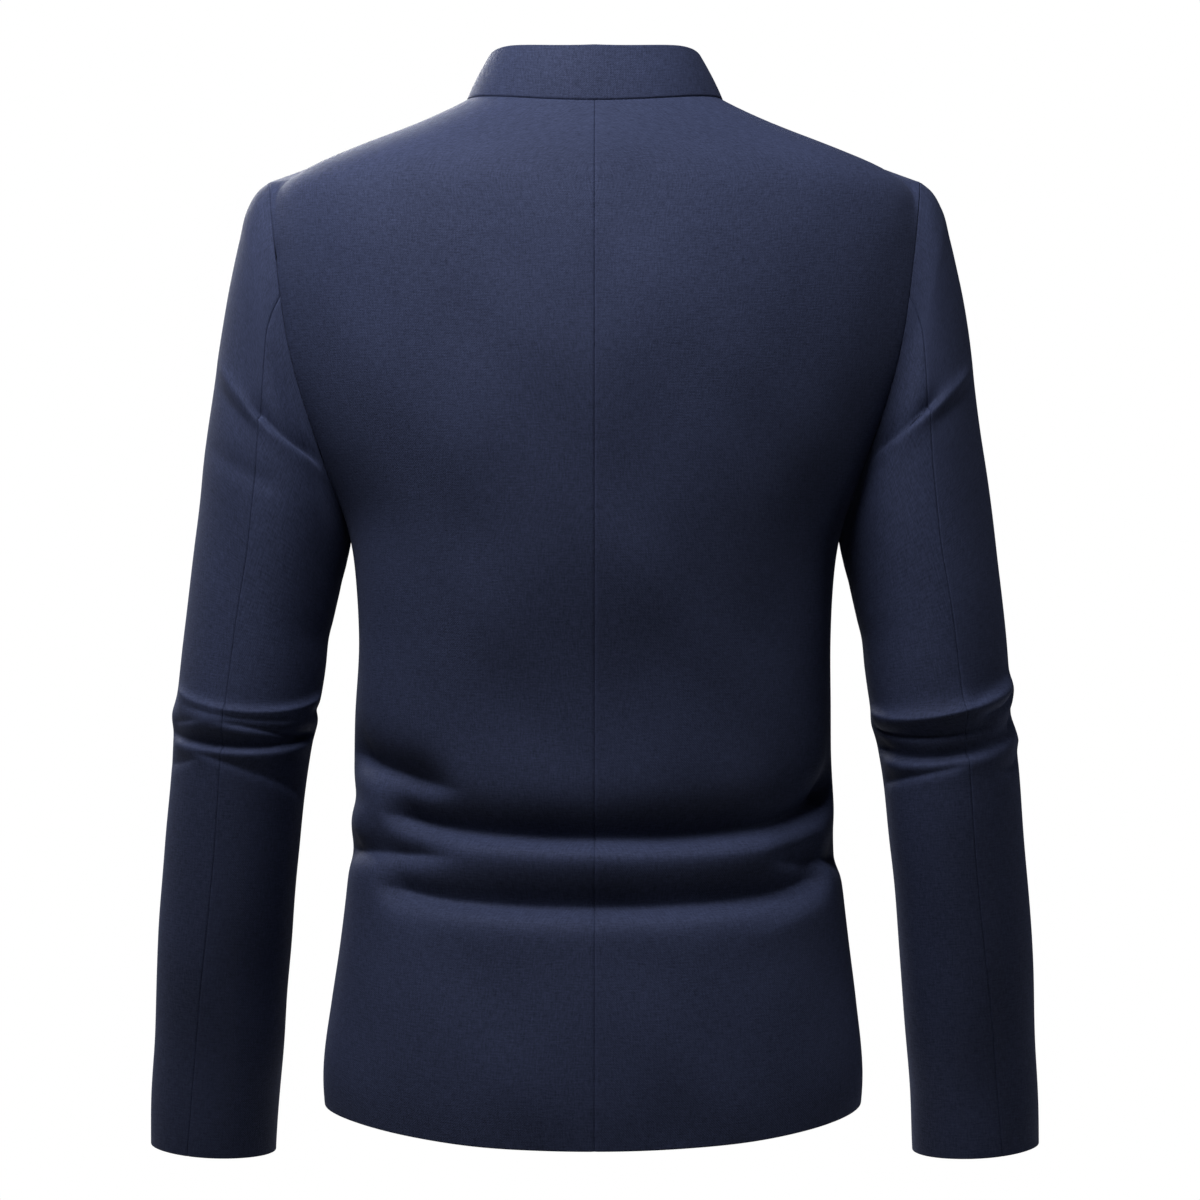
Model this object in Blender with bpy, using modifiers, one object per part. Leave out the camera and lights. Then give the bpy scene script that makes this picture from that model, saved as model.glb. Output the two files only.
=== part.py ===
"""A slim mao jacket, filled out as it is worn, with its front towards -Y and the wearer's left at +X.

Every wall of cloth is a loft through sections that the functions below work out from the garment's
sizes. The origin is the middle of the neck, level with the collar seam at the shoulders.
"""

import math

import bmesh
import bpy
import numpy as np
from mathutils import Vector

# Sizes are in millimetres and degrees, and the meshes are made in metres.
MM = 0.001
CLOTH = 1.6
COLLAR_CLOTH = 2.4
SEAM_GAP = 0.3
SLEEVE_SEAM_GAP = 0.5

# The shoulder seam runs from the neck to the tip of the shoulder, and the armhole from there down.
NECK_HALF_WIDTH = 86.0
TIP_X = 218.0
TIP_Z = -53.6
SHOULDER_SAG = 1.15
UNDERARM_X = 163.0
UNDERARM_Z = -290.0
NECK_DROP = {"back": 11.0, "front": 82.0}
NECK_POWER = {"back": 2.0, "front": 1.1}
ARMHOLE_DEPTH = {"back": 53.5, "front": -56.0}
HEM_SIDE_Z = -667.5
HEM_DROP = {"back": 13.5, "front": 8.0}

# The left front laps over the right one by this much past the centre line, and this zone stays straight.
LAP = 20.0
LAP_SLACK = 0.25
STRAIGHT_HALF_WIDTH = 34.0
STRAIGHT_SHARE = 0.2
LAP_SHARE = STRAIGHT_SHARE * LAP / STRAIGHT_HALF_WIDTH

BUTTON_RADIUS = 10.0
BUTTON_THICK = 3.6
BUTTON_TOP_Z = -108.0
BUTTON_PITCH = 100.0
BUTTON_COUNT = 5

# The collar's ends meet at the centre front with this gap and have round top corners.
COLLAR_END_GAP = 2.0
COLLAR_CORNER = 15.0
COLLAR_BULGE = 0.8

# Half of each button's section from its dished middle round the rim to its back, as shares of its
# radius and its thickness.
BUTTON_SIDES = 16
BUTTON_SECTION = [
    (0.0, 0.62),
    (0.62, 0.62),
    (0.74, 1.0),
    (0.90, 1.0),
    (1.0, 0.70),
    (1.0, 0.30),
    (0.88, 0.0),
    (0.0, 0.0),
]

# Each material's colour and roughness.
NAVY_CLOTH = ((0.018, 0.022, 0.045), 0.85)
NAVY_PLASTIC = ((0.010, 0.012, 0.025), 0.35)

# A normal is taken from points this far away: a share or row of a panel, degrees and a height of a
# sleeve, and radians round the neck.
PANEL_STEP = 0.004
DEGREE_STEP = 0.5
HEIGHT_STEP = 0.5
NECK_STEP = 0.01

# A point belongs to a seam when its share is past the first of these, or within the others of it.
EDGE_SHARE = 0.999
EDGE_ROW = 1e-6
EDGE_HEIGHT = 0.01
SMALLEST = 1e-12
SHARP_ANGLE = 50

# A drag fold belongs to the back half of a sleeve, and fades out this far below the armhole's seam.
DRAG_SPREAD = 1.6
DRAG_SHIFT = 0.1
DRAG_SEAM_FADE = 12.0


def table(columns, rows):
    """A table as a dict of its named columns."""
    return dict(zip(columns.split(), np.array(rows, float).T))


# The torso from the hem up: its half width, the centre back's and centre front's depth, and how square
# the section is.
TORSO = table(
    "height half_width back front power",
    [
        (-690, 175.5, 118.0, -116.0, 2.30),
        (-650, 178.6, 119.0, -117.0, 2.30),
        (-600, 174.3, 115.0, -116.0, 2.30),
        (-560, 169.6, 109.0, -115.5, 2.30),
        (-520, 165.2, 102.5, -115.5, 2.30),
        (-480, 161.4, 97.0, -116.0, 2.30),
        (-440, 158.4, 95.0, -117.5, 2.30),
        (-400, 157.8, 97.0, -120.0, 2.30),
        (-360, 157.4, 102.0, -124.0, 2.30),
        (-320, 159.4, 108.5, -128.5, 2.28),
        (-290, 163.0, 112.5, -131.0, 2.22),
        (-230, 186.0, 117.0, -131.0, 2.10),
        (-170, 205.0, 117.0, -121.0, 2.05),
        (-120, 214.0, 112.0, -98.0, 2.05),
        (-80, 218.0, 103.5, -69.0, 2.05),
        (-54, 218.0, 95.0, -56.0, 2.05),
        (-30, 162.0, 84.0, -43.0, 2.05),
        (-11, 115.0, 72.0, -30.0, 2.05),
        (0, 86.0, 64.0, -20.0, 2.05),
    ],
)

# The armhole seen from behind and in front, by the angle down from the tip of the shoulder.
ARMHOLE = table(
    "angle back front",
    [
        (0, 218.0, 218.0),
        (30, 214.5, 212.0),
        (60, 208.5, 202.0),
        (90, 199.0, 190.0),
        (120, 182.0, 176.5),
        (150, 167.5, 166.5),
        (180, 163.0, 163.0),
    ],
)

# The sleeve's sections from the cuff up, by the height of each one's middle. Tilt is half the drop from
# the section's outer point to its inner one, and the armhole is the last and steepest section.
SLEEVE = table(
    "height tilt outer_x inner_x centre_y half_depth back_seam front_seam",
    [
        (-706.5, 3.0, 302.5, 217.2, -35.0, 43.5, 73, 238),
        (-650, 4.0, 299.9, 213.3, -26.0, 45.5, 76.5, 238),
        (-600, 4.0, 296.4, 208.9, -17.0, 47.5, 79, 238),
        (-550, 4.0, 292.3, 203.5, -8.0, 49.5, 81.5, 238),
        (-500, 4.0, 287.7, 198.7, 0.0, 51.5, 83, 238),
        (-450, 4.5, 282.7, 193.2, 6.0, 54.0, 82, 238),
        (-420, 5.0, 279.5, 187.8, 8.0, 55.0, 80.5, 238),
        (-395, 6.0, 276.7, 183.6, 8.0, 56.0, 79.5, 238),
        (-370, 9.0, 274.3, 180.4, 7.0, 57.5, 80, 238),
        (-345, 15.0, 271.2, 178.3, 6.0, 59.0, 81, 238),
        (-323, 24.0, 267.4, 175.2, 5.0, 60.5, 81.5, 237),
        (-305, 32.0, 264.3, 173.0, 4.5, 61.5, 82, 236),
        (-288, 41.0, 261.3, 171.3, 4.0, 62.5, 81.5, 235),
        (-271, 51.0, 257.8, 169.9, 3.5, 63.0, 80.5, 234),
        (-255, 62.0, 254.4, 168.6, 3.0, 63.0, 79.5, 233),
        (-239, 73.0, 251.0, 167.3, 2.5, 62.5, 77.5, 232),
        (-223.5, 83.5, 246.8, 166.2, 2.0, 61.5, 75.5, 231),
        (-209, 94.0, 242.4, 165.2, 1.5, 60.0, 75, 230),
        (-195.8, 103.7, 238.0, 164.4, 1.0, 58.5, 75.5, 230),
        (-184, 112.0, 232.8, 163.7, 0.5, 56.8, 75.5, 230),
        (-176.5, 116.8, 225.4, 163.3, 0.0, 55.4, 74, 230),
        (-171.8, 118.2, 218.0, 163.0, 0.0, 54.5, 72, 230),
    ],
)
ARMHOLE_HEIGHT = SLEEVE["height"][-1]
CUFF_HEIGHT = SLEEVE["height"][0]
CAP_FADE = 55.0

# The standing collar, by the angle round the neck from the centre back.
COLLAR = table(
    "angle rise lean",
    [
        (0, 37.5, 9.0),
        (45, 35.0, 11.5),
        (90, 28.5, 15.0),
        (135, 31.5, 11.5),
        (180, 34.0, 8.0),
    ],
)

# Each fold is a ridge, or a valley where its rise is below zero. It runs from start to end along the
# cloth and from start_z to end_z in height, with a bow at its middle, and is above and below wide.
FOLD_COLUMNS = "start end start_z end_z bow rise above below taper"

# Along the torso: degrees from the centre back, which grow towards the wearer's left.
TORSO_FOLDS = table(
    FOLD_COLUMNS,
    [
        (54, -95, -472, -454, -21, -12.0, 22, 11, 22),
        (125, 58, -466, -464, 0, -3.5, 11, 9, 20),
        (53, -66, -516, -512, -13, -8.5, 18, 12, 20),
        (96, 27, -432, -455, 1, -7.0, 13, 9, 22),
        (114, 27, -500, -497, 3, -6.0, 12, 8, 18),
        (126, 58, -486, -484, 0, 4.0, 14, 12, 18),
        (-38, -100, -499, -506, 0, -5.0, 14, 8, 26),
        (30, 150, -430, -425, 0, 3.0, 45, 40, 30),
        (45, 140, -645, -640, 0, 2.5, 60, 80, 30),
        (170, 118, -470, -450, -4, -4.5, 13, 10, 16),
        (-168, -120, -464, -446, -4, -4.5, 13, 10, 16),
        (166, 124, -512, -500, -4, -3.5, 12, 10, 16),
        (-166, -122, -508, -514, -4, -3.5, 12, 10, 16),
    ],
)

# Along the sleeves: degrees from the outer point over the back. Both elbows crease, not quite alike.
ELBOW_FOLDS = {
    1: table(
        FOLD_COLUMNS,
        [
            (-8, 192, -400, -390, -14, 4.0, 8, 6, 35),
            (0, 188, -413, -400, -11, -5.0, 6, 7, 30),
            (0, 175, -426, -425, -2, -2.5, 6, 6, 30),
            (12, 188, -430, -420, -10, 4.5, 7, 7, 35),
            (10, 170, -450, -449, 10, 2.5, 7, 9, 35),
        ],
    ),
    -1: table(
        FOLD_COLUMNS,
        [
            (-8, 192, -388, -398, -17, 4.5, 9, 6, 35),
            (0, 188, -399, -407, -15, -5.0, 6, 7, 30),
            (-5, 185, -412, -416, -12, -4.0, 6, 7, 30),
            (-8, 180, -418, -427, -17, 5.0, 7, 8, 35),
            (60, 188, -442, -455, -2, -2.5, 7, 9, 30),
        ],
    ),
}

# Behind the armpit a drag line runs across the back of each sleeve: here along is the distance from
# the centre back.
DRAG_FOLDS = {
    1: table(
        FOLD_COLUMNS,
        [
            (252, 178, -184, -246, -7, 4.0, 7, 9, 14),
            (228, 176, -198, -236, -5, -5.5, 9, 7, 14),
        ],
    ),
    -1: table(
        FOLD_COLUMNS,
        [
            (250, 175, -176, -242, -8, 4.0, 7, 9, 14),
            (228, 174, -190, -232, -6, -5.5, 9, 7, 14),
        ],
    ),
}

# Rows and columns of the walls. The heights of the rows are close together where the cloth folds.
BACK_SHARES = np.linspace(0, 1, 9)
FRONT_SHARES = np.array([0, LAP_SHARE, STRAIGHT_SHARE, 0.34, 0.48, 0.62, 0.76, 0.88, 1])
LOWER_ROWS = np.concatenate(
    [[HEM_SIDE_Z, -645, -615, -585, -562], np.linspace(-546, -426, 15), [-408, -380, -350, -318]]
)
SHOULDER_ROWS = [-43, -32, -21, -11, 0]
SLEEVE_ROWS = np.concatenate(
    [
        [SLEEVE["height"][0], -665, -625, -585, -545, -510, -482],
        np.linspace(-462, -386, 13),
        [-370, -350, -327, -305, -288, -271, -255, -239, -223.5, -209, -195.8, -184, -176.5],
        [ARMHOLE_HEIGHT],
    ]
)

# The columns of a sleeve by their angle at the armhole, from its front seam over the shoulder to its
# back seam, and on under the arm to its front seam. The rows of the torso end at the same points.
TOP_SLEEVE_COLUMNS = np.array([-130, -110, -88, -66, -44, -22, 0, 18, 36, 54, 72.0])
UNDER_SLEEVE_COLUMNS = np.array([72, 94, 116, 138, 160, 180, 200, 215, 230.0])
ARMHOLE_STOPS = {
    "back": [180, 160, 138, 116, 94, 72, 54, 36, 18, 0],
    "front": [180, 160, 145, 130, 110, 88, 66, 44, 22, 0],
}
COLLAR_ROWS = np.linspace(0, 1, 4)


def smooth(rows, name, at, key="height"):
    """The named column at these places, on one smooth curve through the table's rows."""
    knots, values = rows[key], rows[name]
    slopes = np.gradient(values, knots)
    at = np.clip(at, knots[0], knots[-1])
    low = np.clip(np.searchsorted(knots, at) - 1, 0, len(knots) - 2)
    span = knots[low + 1] - knots[low]
    s = (at - knots[low]) / span
    rise = values[low + 1] - values[low]
    turn = s * (1 - s) * ((1 - s) * slopes[low] - s * slopes[low + 1])
    return values[low] + s * s * (3 - 2 * s) * rise + span * turn


def eased(s):
    """0 below 0, 1 above 1, and a smooth step between."""
    s = np.clip(s, 0, 1)
    return s * s * (3 - 2 * s)


def unit(vectors):
    """The vectors at length 1."""
    return vectors / np.maximum(np.linalg.norm(vectors, axis=-1, keepdims=True), SMALLEST)


def fold_height(folds, along, z):
    """How far the folds of a table lift the cloth, in millimetres."""
    height = np.zeros(np.broadcast(along, z).shape)
    for start, end, start_z, end_z, bow, rise, above, below, taper in zip(*folds.values()):
        s = (along - start) / (end - start)
        off = z - (start_z + (end_z - start_z) * s + bow * 4 * s * (1 - s))
        ends = eased(np.minimum(s, 1 - s) * abs(end - start) / taper)
        height += rise * ends * np.exp(-((off / np.where(off > 0, above, below)) ** 2))
    return height


def armhole_angle(z):
    """Angle down the armhole at a height, in degrees: 0 at the shoulder's tip, 180 under the arm."""
    middle, half = (TIP_Z + UNDERARM_Z) / 2, (TIP_Z - UNDERARM_Z) / 2
    return np.degrees(np.arccos(np.clip((z - middle) / half, -1, 1)))


def edge_of(side, z):
    """x and y of a panel's outer edge: the side seam, then the armhole, then the shoulder seam."""
    angle = armhole_angle(z)
    arm_x = smooth(ARMHOLE, side, angle, key="angle")
    arm_y = ARMHOLE_DEPTH[side] * np.sin(np.radians(angle))
    seam_x = NECK_HALF_WIDTH + (TIP_X - NECK_HALF_WIDTH) * np.clip(z / TIP_Z, 0, 1) ** SHOULDER_SAG
    x = np.where(z < UNDERARM_Z, smooth(TORSO, "half_width", z), np.where(z > TIP_Z, seam_x, arm_x))
    return x, np.where((z > UNDERARM_Z) & (z < TIP_Z), arm_y, 0)


def section_of(side, z):
    """Half width, depth and power of the whole oval that a panel's section at z is cut from."""
    edge_x, edge_y = edge_of(side, z)
    depth, power = smooth(TORSO, side, z), smooth(TORSO, "power", z)
    reach = edge_x / (1 - (edge_y / depth) ** power) ** (1 / power)
    return reach, depth, power


def turn_at(side, x, z):
    """Angle round the oval at which the section at z is x away from the middle."""
    reach, _, power = section_of(side, z)
    return np.arcsin(np.clip(x / reach, 0, 1) ** (power / 2))


def on_torso(side, turn, z):
    """x and y at an angle round the section at z."""
    reach, depth, power = section_of(side, z)
    x = reach * np.clip(np.sin(turn), 0, 1) ** (2 / power)
    return x, depth * np.clip(np.cos(turn), 0, 1) ** (2 / power)


def edge_turn(side, z):
    """The angle round the oval of the panel's outer edge."""
    return turn_at(side, edge_of(side, z)[0], z)


def turn_of_share(side, share, z):
    """The angle at a share of the way from the centre line to the panel's edge."""
    if side == "back":
        return share * edge_turn(side, z)
    straight = turn_at(side, np.minimum(share / STRAIGHT_SHARE, 1) * STRAIGHT_HALF_WIDTH, z)
    rest = np.clip((share - STRAIGHT_SHARE) / (1 - STRAIGHT_SHARE), 0, 1)
    return straight + rest * (edge_turn(side, z) - straight)


def neck_angle(side, share):
    """Angle round the neckline from the centre line, at a share of the way to the shoulder seam."""
    if side == "back":
        return share * math.pi / 2
    straight = np.minimum(share / STRAIGHT_SHARE, 1) * STRAIGHT_HALF_WIDTH
    start = np.arcsin(straight / NECK_HALF_WIDTH)
    rest = np.clip((share - STRAIGHT_SHARE) / (1 - STRAIGHT_SHARE), 0, 1)
    return start + rest * (math.pi / 2 - start)


def neckline(side, angle):
    """x, y and z of the neckline, at an angle from the centre line."""
    x = NECK_HALF_WIDTH * np.sin(angle)
    z = -NECK_DROP[side] * np.clip(np.cos(angle), 0, 1) ** NECK_POWER[side]
    return x, on_torso(side, turn_at(side, x, z), z)[1], z


def plain_torso(side, share, row):
    """Points of the torso without folds, and the angle round it in degrees from the centre back.

    Share runs from -1, the right edge, to 1. Row runs from -1, the hem, over 0, under the arm, to 1.
    """
    share, row = np.broadcast_arrays(np.asarray(share, float), np.asarray(row, float))
    off = np.abs(share)
    neck_x, _, neck_z = neckline(side, neck_angle(side, off))
    hem_z = HEM_SIDE_Z - HEM_DROP[side] * np.cos(off * math.pi / 2) ** 2
    z = np.where(row < 0, UNDERARM_Z + (UNDERARM_Z - hem_z) * row, UNDERARM_Z + (neck_z - UNDERARM_Z) * row)
    ratio = turn_of_share(side, off, z) / edge_turn(side, z)
    neck_ratio = turn_at(side, neck_x, neck_z) / edge_turn(side, neck_z)
    turn = (ratio + (neck_ratio - ratio) * eased(2 * row - 1)) * edge_turn(side, z)
    x, y = on_torso(side, turn, z)
    round_degrees = np.degrees(turn) if side == "back" else 180 - np.degrees(turn)
    hand = np.where(share < 0, -1, 1)
    return np.stack([x * hand, y, z], -1), round_degrees * hand


def slopes_of(surface, a, b, step_a, step_b):
    """Unit normals of a surface, from points a small step to each side."""
    along_a = surface(a + step_a, b) - surface(a - step_a, b)
    along_b = surface(a, b + step_b) - surface(a, b - step_b)
    return unit(np.cross(along_a, along_b))


def torso_surface(side):
    """The outside of the torso with its folds, as a function of share and row."""
    facing = 1 if side == "back" else -1

    def plain(share, row):
        return plain_torso(side, np.clip(share, -1, 1), np.clip(row, -1, 1))[0]

    def folded(share, row):
        share, row = np.clip(share, -1, 1), np.clip(row, -1, 1)
        points, round_degrees = plain_torso(side, share, row)
        normals = -facing * slopes_of(plain, share, row, PANEL_STEP, PANEL_STEP)
        normals = closed_at_edges(share, row, normals)
        lift = fold_height(TORSO_FOLDS, round_degrees, points[..., 2])
        return points + normals * lift[..., None]

    return folded


def closed_at_edges(share, row, normals):
    """Turns the normals at the side and shoulder seams square to the seam, so that both sides meet."""
    flat = unit(normals * (1, 0, 1))
    at_edge = (np.abs(share) > EDGE_SHARE) & ((row <= 0) | (row >= row_of(TIP_Z)))
    return np.where(at_edge[..., None], flat, normals)


def row_of(z):
    """The row that has this height at the panel's outer edge."""
    z = np.asarray(z, float)
    return np.where(z < UNDERARM_Z, (z - UNDERARM_Z) / (UNDERARM_Z - HEM_SIDE_Z), 1 - z / UNDERARM_Z)


def armhole_normal(degrees):
    """The way out in the armhole's own plane, which the torso's and the sleeve's edges share."""
    turn = np.radians(np.asarray(degrees, float))
    long_axis = np.array([TIP_X - UNDERARM_X, 0, TIP_Z - UNDERARM_Z]) / 2
    half_length = np.linalg.norm(long_axis)
    along = np.cos(turn)[..., None] * long_axis / half_length**2
    across = np.sin(turn)[..., None] * np.array([0, 1, 0]) / ARMHOLE_DEPTH["back"]
    return unit(along + across)


def torso_wall(side, shares, sink=None):
    """Outer and inner points of a panel of the torso, row by row from the hem."""
    facing = 1 if side == "back" else -1
    surface = torso_surface(side)
    stops = np.cos(np.radians(ARMHOLE_STOPS[side]))
    armhole_rows = (TIP_Z + UNDERARM_Z) / 2 + (TIP_Z - UNDERARM_Z) / 2 * stops
    rows = np.concatenate([LOWER_ROWS, armhole_rows, SHOULDER_ROWS])
    row, share = np.meshgrid(row_of(rows), shares, indexing="ij")
    points = surface(share, row)
    normals = -facing * slopes_of(surface, share, row, PANEL_STEP, PANEL_STEP)
    normals = closed_at_edges(share, row, normals)
    at_armhole = (np.abs(share) > EDGE_SHARE) & (row >= 0) & (row <= row_of(TIP_Z) + EDGE_ROW)
    ring = armhole_normal(armhole_angle(points[..., 2])) * (1, facing, 1)
    ring[..., 0] *= np.where(share < 0, -1, 1)
    normals = np.where(at_armhole[..., None], ring, normals)
    at_seam = (np.abs(share) > EDGE_SHARE) & ((row <= 0) | (row >= row_of(TIP_Z)))
    points[..., 1] += np.where(at_seam, facing * SEAM_GAP / 2, 0)
    if sink is not None:
        points = points - normals * sink(points[..., 0])[..., None]
    return points, points - normals * CLOTH


def sleeve_middle(height):
    """The middle, the half axis to the outer point and the half depth of the sleeve's section."""
    outer, inner = smooth(SLEEVE, "outer_x", height), smooth(SLEEVE, "inner_x", height)
    tilt = smooth(SLEEVE, "tilt", height)
    centre = np.stack([(outer + inner) / 2, smooth(SLEEVE, "centre_y", height), height], -1)
    axis = np.stack([(outer - inner) / 2, np.zeros_like(tilt), tilt], -1)
    return centre, axis, smooth(SLEEVE, "half_depth", height)


def armhole_shift(degrees):
    """What the torso's armhole adds to the plain oval of the sleeve's first section."""
    angle = np.abs((degrees + 180) % 360 - 180)
    over_back = (degrees % 360) < 180
    straight = (TIP_X + UNDERARM_X) / 2 + (TIP_X - UNDERARM_X) / 2 * np.cos(np.radians(angle))
    x = np.where(
        over_back,
        smooth(ARMHOLE, "back", angle, key="angle"),
        smooth(ARMHOLE, "front", angle, key="angle"),
    )
    depth = np.where(over_back, ARMHOLE_DEPTH["back"], -ARMHOLE_DEPTH["front"]) - SLEEVE["half_depth"][-1]
    return np.stack([x - straight, depth * np.sin(np.radians(degrees)), np.zeros_like(x)], -1)


def plain_sleeve(degrees, height):
    """Points of the left sleeve without folds: 0 degrees is the outer point and 90 the back."""
    degrees, height = np.broadcast_arrays(np.asarray(degrees, float), np.asarray(height, float))
    height = np.clip(height, CUFF_HEIGHT, ARMHOLE_HEIGHT)
    centre, axis, half_depth = sleeve_middle(height)
    turn = np.radians(degrees)
    across = np.stack([np.zeros_like(turn), half_depth * np.sin(turn), np.zeros_like(turn)], -1)
    fade = 1 - eased((ARMHOLE_HEIGHT - height) / CAP_FADE)
    return centre + axis * np.cos(turn)[..., None] + across + armhole_shift(degrees) * fade[..., None]


def sleeve_surface(hand):
    """The outside of a sleeve with its folds, on the left side of the body for either hand."""

    def folded(degrees, height):
        height = np.clip(height, CUFF_HEIGHT, ARMHOLE_HEIGHT)
        points = plain_sleeve(degrees, height)
        normals = slopes_of(plain_sleeve, degrees, height, DEGREE_STEP, HEIGHT_STEP)
        at = (degrees + 90) % 360 - 90
        back = eased(np.sin(np.radians(degrees)) * DRAG_SPREAD + DRAG_SHIFT)
        lift = fold_height(ELBOW_FOLDS[hand], at, height)
        drag = fold_height(DRAG_FOLDS[hand], points[..., 0], points[..., 2])
        off_seam = eased((ARMHOLE_HEIGHT - height) / DRAG_SEAM_FADE)
        return points + normals * (lift + drag * back * off_seam)[..., None]

    return folded


def sleeve_wall(hand, starts, ends, columns):
    """Outer and inner points of one piece of a sleeve, between its two seams, from the cuff up."""
    surface = sleeve_surface(hand)
    shares = (columns - columns[0]) / (columns[-1] - columns[0])
    height, share = np.meshgrid(SLEEVE_ROWS, shares, indexing="ij")
    degrees = starts(height) + (ends(height) - starts(height)) * share
    half_gap = math.degrees(SLEEVE_SEAM_GAP / 2 / SLEEVE["half_depth"][0])
    degrees[:, 0] += half_gap
    degrees[:, -1] -= half_gap
    points = surface(degrees, height)
    normals = slopes_of(surface, degrees, height, DEGREE_STEP, HEIGHT_STEP)
    at_armhole = height > ARMHOLE_HEIGHT - EDGE_HEIGHT
    normals = np.where(at_armhole[..., None], armhole_normal(degrees), normals)
    axis = sleeve_middle(np.array(ARMHOLE_HEIGHT))[1]
    away = unit(np.cross((0, 1, 0), axis))
    points = points + np.where(at_armhole[..., None], away * SEAM_GAP, 0)
    inner = points - normals * CLOTH
    return points * (hand, 1, 1), inner * (hand, 1, 1)


def collar_wall():
    """Outer and inner points of the collar, up from the neckline, left front end to right front end."""
    end_angle = math.asin(COLLAR_END_GAP / 2 / NECK_HALF_WIDTH)
    front = math.pi - np.maximum(neck_angle("front", FRONT_SHARES), end_angle)
    half = np.concatenate([neck_angle("back", BACK_SHARES)[:-1], front[::-1]])
    angles = np.concatenate([-half[:0:-1], half])

    def foot(angle):
        size, hand = np.abs(angle), np.sign(angle)
        back, ahead = neckline("back", np.minimum(size, math.pi / 2)), neckline("front", math.pi - size)
        x, y, z = (np.where(size <= math.pi / 2, b, f) for b, f in zip(back, ahead))
        return np.stack([x * hand, y, z], -1)

    base = foot(angles) + (0, 0, SEAM_GAP)
    along = (foot(angles + NECK_STEP) - foot(angles - NECK_STEP)) * (1, 1, 0)
    outward = unit(np.cross((0, 0, 1), along))
    size = np.degrees(np.abs(angles))
    rise, lean = smooth(COLLAR, "rise", size, "angle"), smooth(COLLAR, "lean", size, "angle")
    from_end = np.clip((math.pi - end_angle - np.abs(angles)) * NECK_HALF_WIDTH / COLLAR_CORNER, 0, 1)
    rise = rise - COLLAR_CORNER * (1 - np.sqrt(1 - (1 - from_end) ** 2))
    outer = []
    for up in COLLAR_ROWS:
        shift = -lean * up + COLLAR_BULGE * 4 * up * (1 - up)
        lift = np.stack([np.zeros_like(rise), np.zeros_like(rise), rise * up], -1)
        outer.append(base + outward * shift[:, None] + lift)
    outer = np.array(outer)
    return outer, outer - outward * COLLAR_CLOTH


def add_wall(name, walls, collection):
    """Lofts one closed solid through the outer and inner points of a wall's rows."""
    outer, inner = walls
    rows, columns = outer.shape[:2]
    mesh_data = bmesh.new()
    skins = []
    for skin in (outer, inner):
        skins.append([[mesh_data.verts.new(point * MM) for point in row] for row in skin])
    cells = [(i, j) for i in range(rows - 1) for j in range(columns - 1)]
    for corners in skins:
        for i, j in cells:
            mesh_data.faces.new(
                (corners[i][j], corners[i][j + 1], corners[i + 1][j + 1], corners[i + 1][j])
            )
    border = [(0, j) for j in range(columns)]
    border += [(i, columns - 1) for i in range(1, rows)]
    border += [(rows - 1, j) for j in range(columns - 2, -1, -1)]
    border += [(i, 0) for i in range(rows - 2, 0, -1)]
    for (i, j), (k, m) in zip(border, border[1:] + border[:1]):
        mesh_data.faces.new((skins[0][i][j], skins[0][k][m], skins[1][k][m], skins[1][i][j]))
    bmesh.ops.recalc_face_normals(mesh_data, faces=mesh_data.faces)
    if mesh_data.calc_volume(signed=True) < 0:
        bmesh.ops.reverse_faces(mesh_data, faces=mesh_data.faces)
    mesh = bpy.data.meshes.new(name)
    mesh_data.to_mesh(mesh)
    mesh_data.free()
    mesh.shade_smooth()
    mesh.set_sharp_from_angle(angle=math.radians(SHARP_ANGLE))
    mesh.materials.append(add_material(name, *NAVY_CLOTH))
    wall = bpy.data.objects.new(name, mesh)
    collection.objects.link(wall)
    return wall


def add_button(name, height, collection):
    """A turned button that lies on the left front at the centre line, its back just off the cloth."""
    radius, thick = BUTTON_RADIUS * MM, BUTTON_THICK * MM
    profile = [(radius * out, 0, thick * up) for out, up in BUTTON_SECTION]
    mesh = bpy.data.meshes.new(name)
    edges = [(i, i + 1) for i in range(len(profile) - 1)]
    mesh.from_pydata(profile, edges, [])
    mesh.materials.append(add_material(name, *NAVY_PLASTIC))
    button = bpy.data.objects.new(name, mesh)
    collection.objects.link(button)
    screw = button.modifiers.new("turn", "SCREW")
    screw.steps = screw.render_steps = BUTTON_SIDES
    screw.use_merge_vertices = True
    screw.merge_threshold = 0.00001
    surface = torso_surface("front")
    row = np.array(float(row_of(height)))
    if height > UNDERARM_Z:
        neck_z = -NECK_DROP["front"]
        row = np.array((height - UNDERARM_Z) / (neck_z - UNDERARM_Z))
    share = np.array(0.0)
    spot = surface(share, row)
    normal = slopes_of(surface, share, row, PANEL_STEP, PANEL_STEP)
    button.rotation_mode = "QUATERNION"
    button.rotation_quaternion = Vector(normal).to_track_quat("Z", "Y")
    button.location = Vector((spot + normal * SEAM_GAP) * MM)
    return button


def add_material(name, colour, roughness):
    """A plain material of one colour and roughness."""
    material = bpy.data.materials.new(name)
    material.use_nodes = True
    shader = material.node_tree.nodes["Principled BSDF"]
    shader.inputs["Base Color"].default_value = (*colour, 1)
    shader.inputs["Roughness"].default_value = roughness
    shader.inputs["Metallic"].default_value = 0.0
    material.diffuse_color = (*colour, 1)
    return material


def under_lap(x):
    """How far the right front sinks where the left front lies on it."""
    under = (x + STRAIGHT_HALF_WIDTH) / (STRAIGHT_HALF_WIDTH - LAP)
    return (CLOTH + SEAM_GAP + LAP_SLACK) * np.clip(under, 0, 1)


def apart(walls, hand):
    """Moves the wall's edge on the centre line off it by half a seam's gap."""
    for skin in walls:
        on_line = np.abs(skin[..., 0]) < EDGE_ROW
        skin[..., 0] += np.where(on_line, hand * SEAM_GAP / 2, 0)
    return walls


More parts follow.
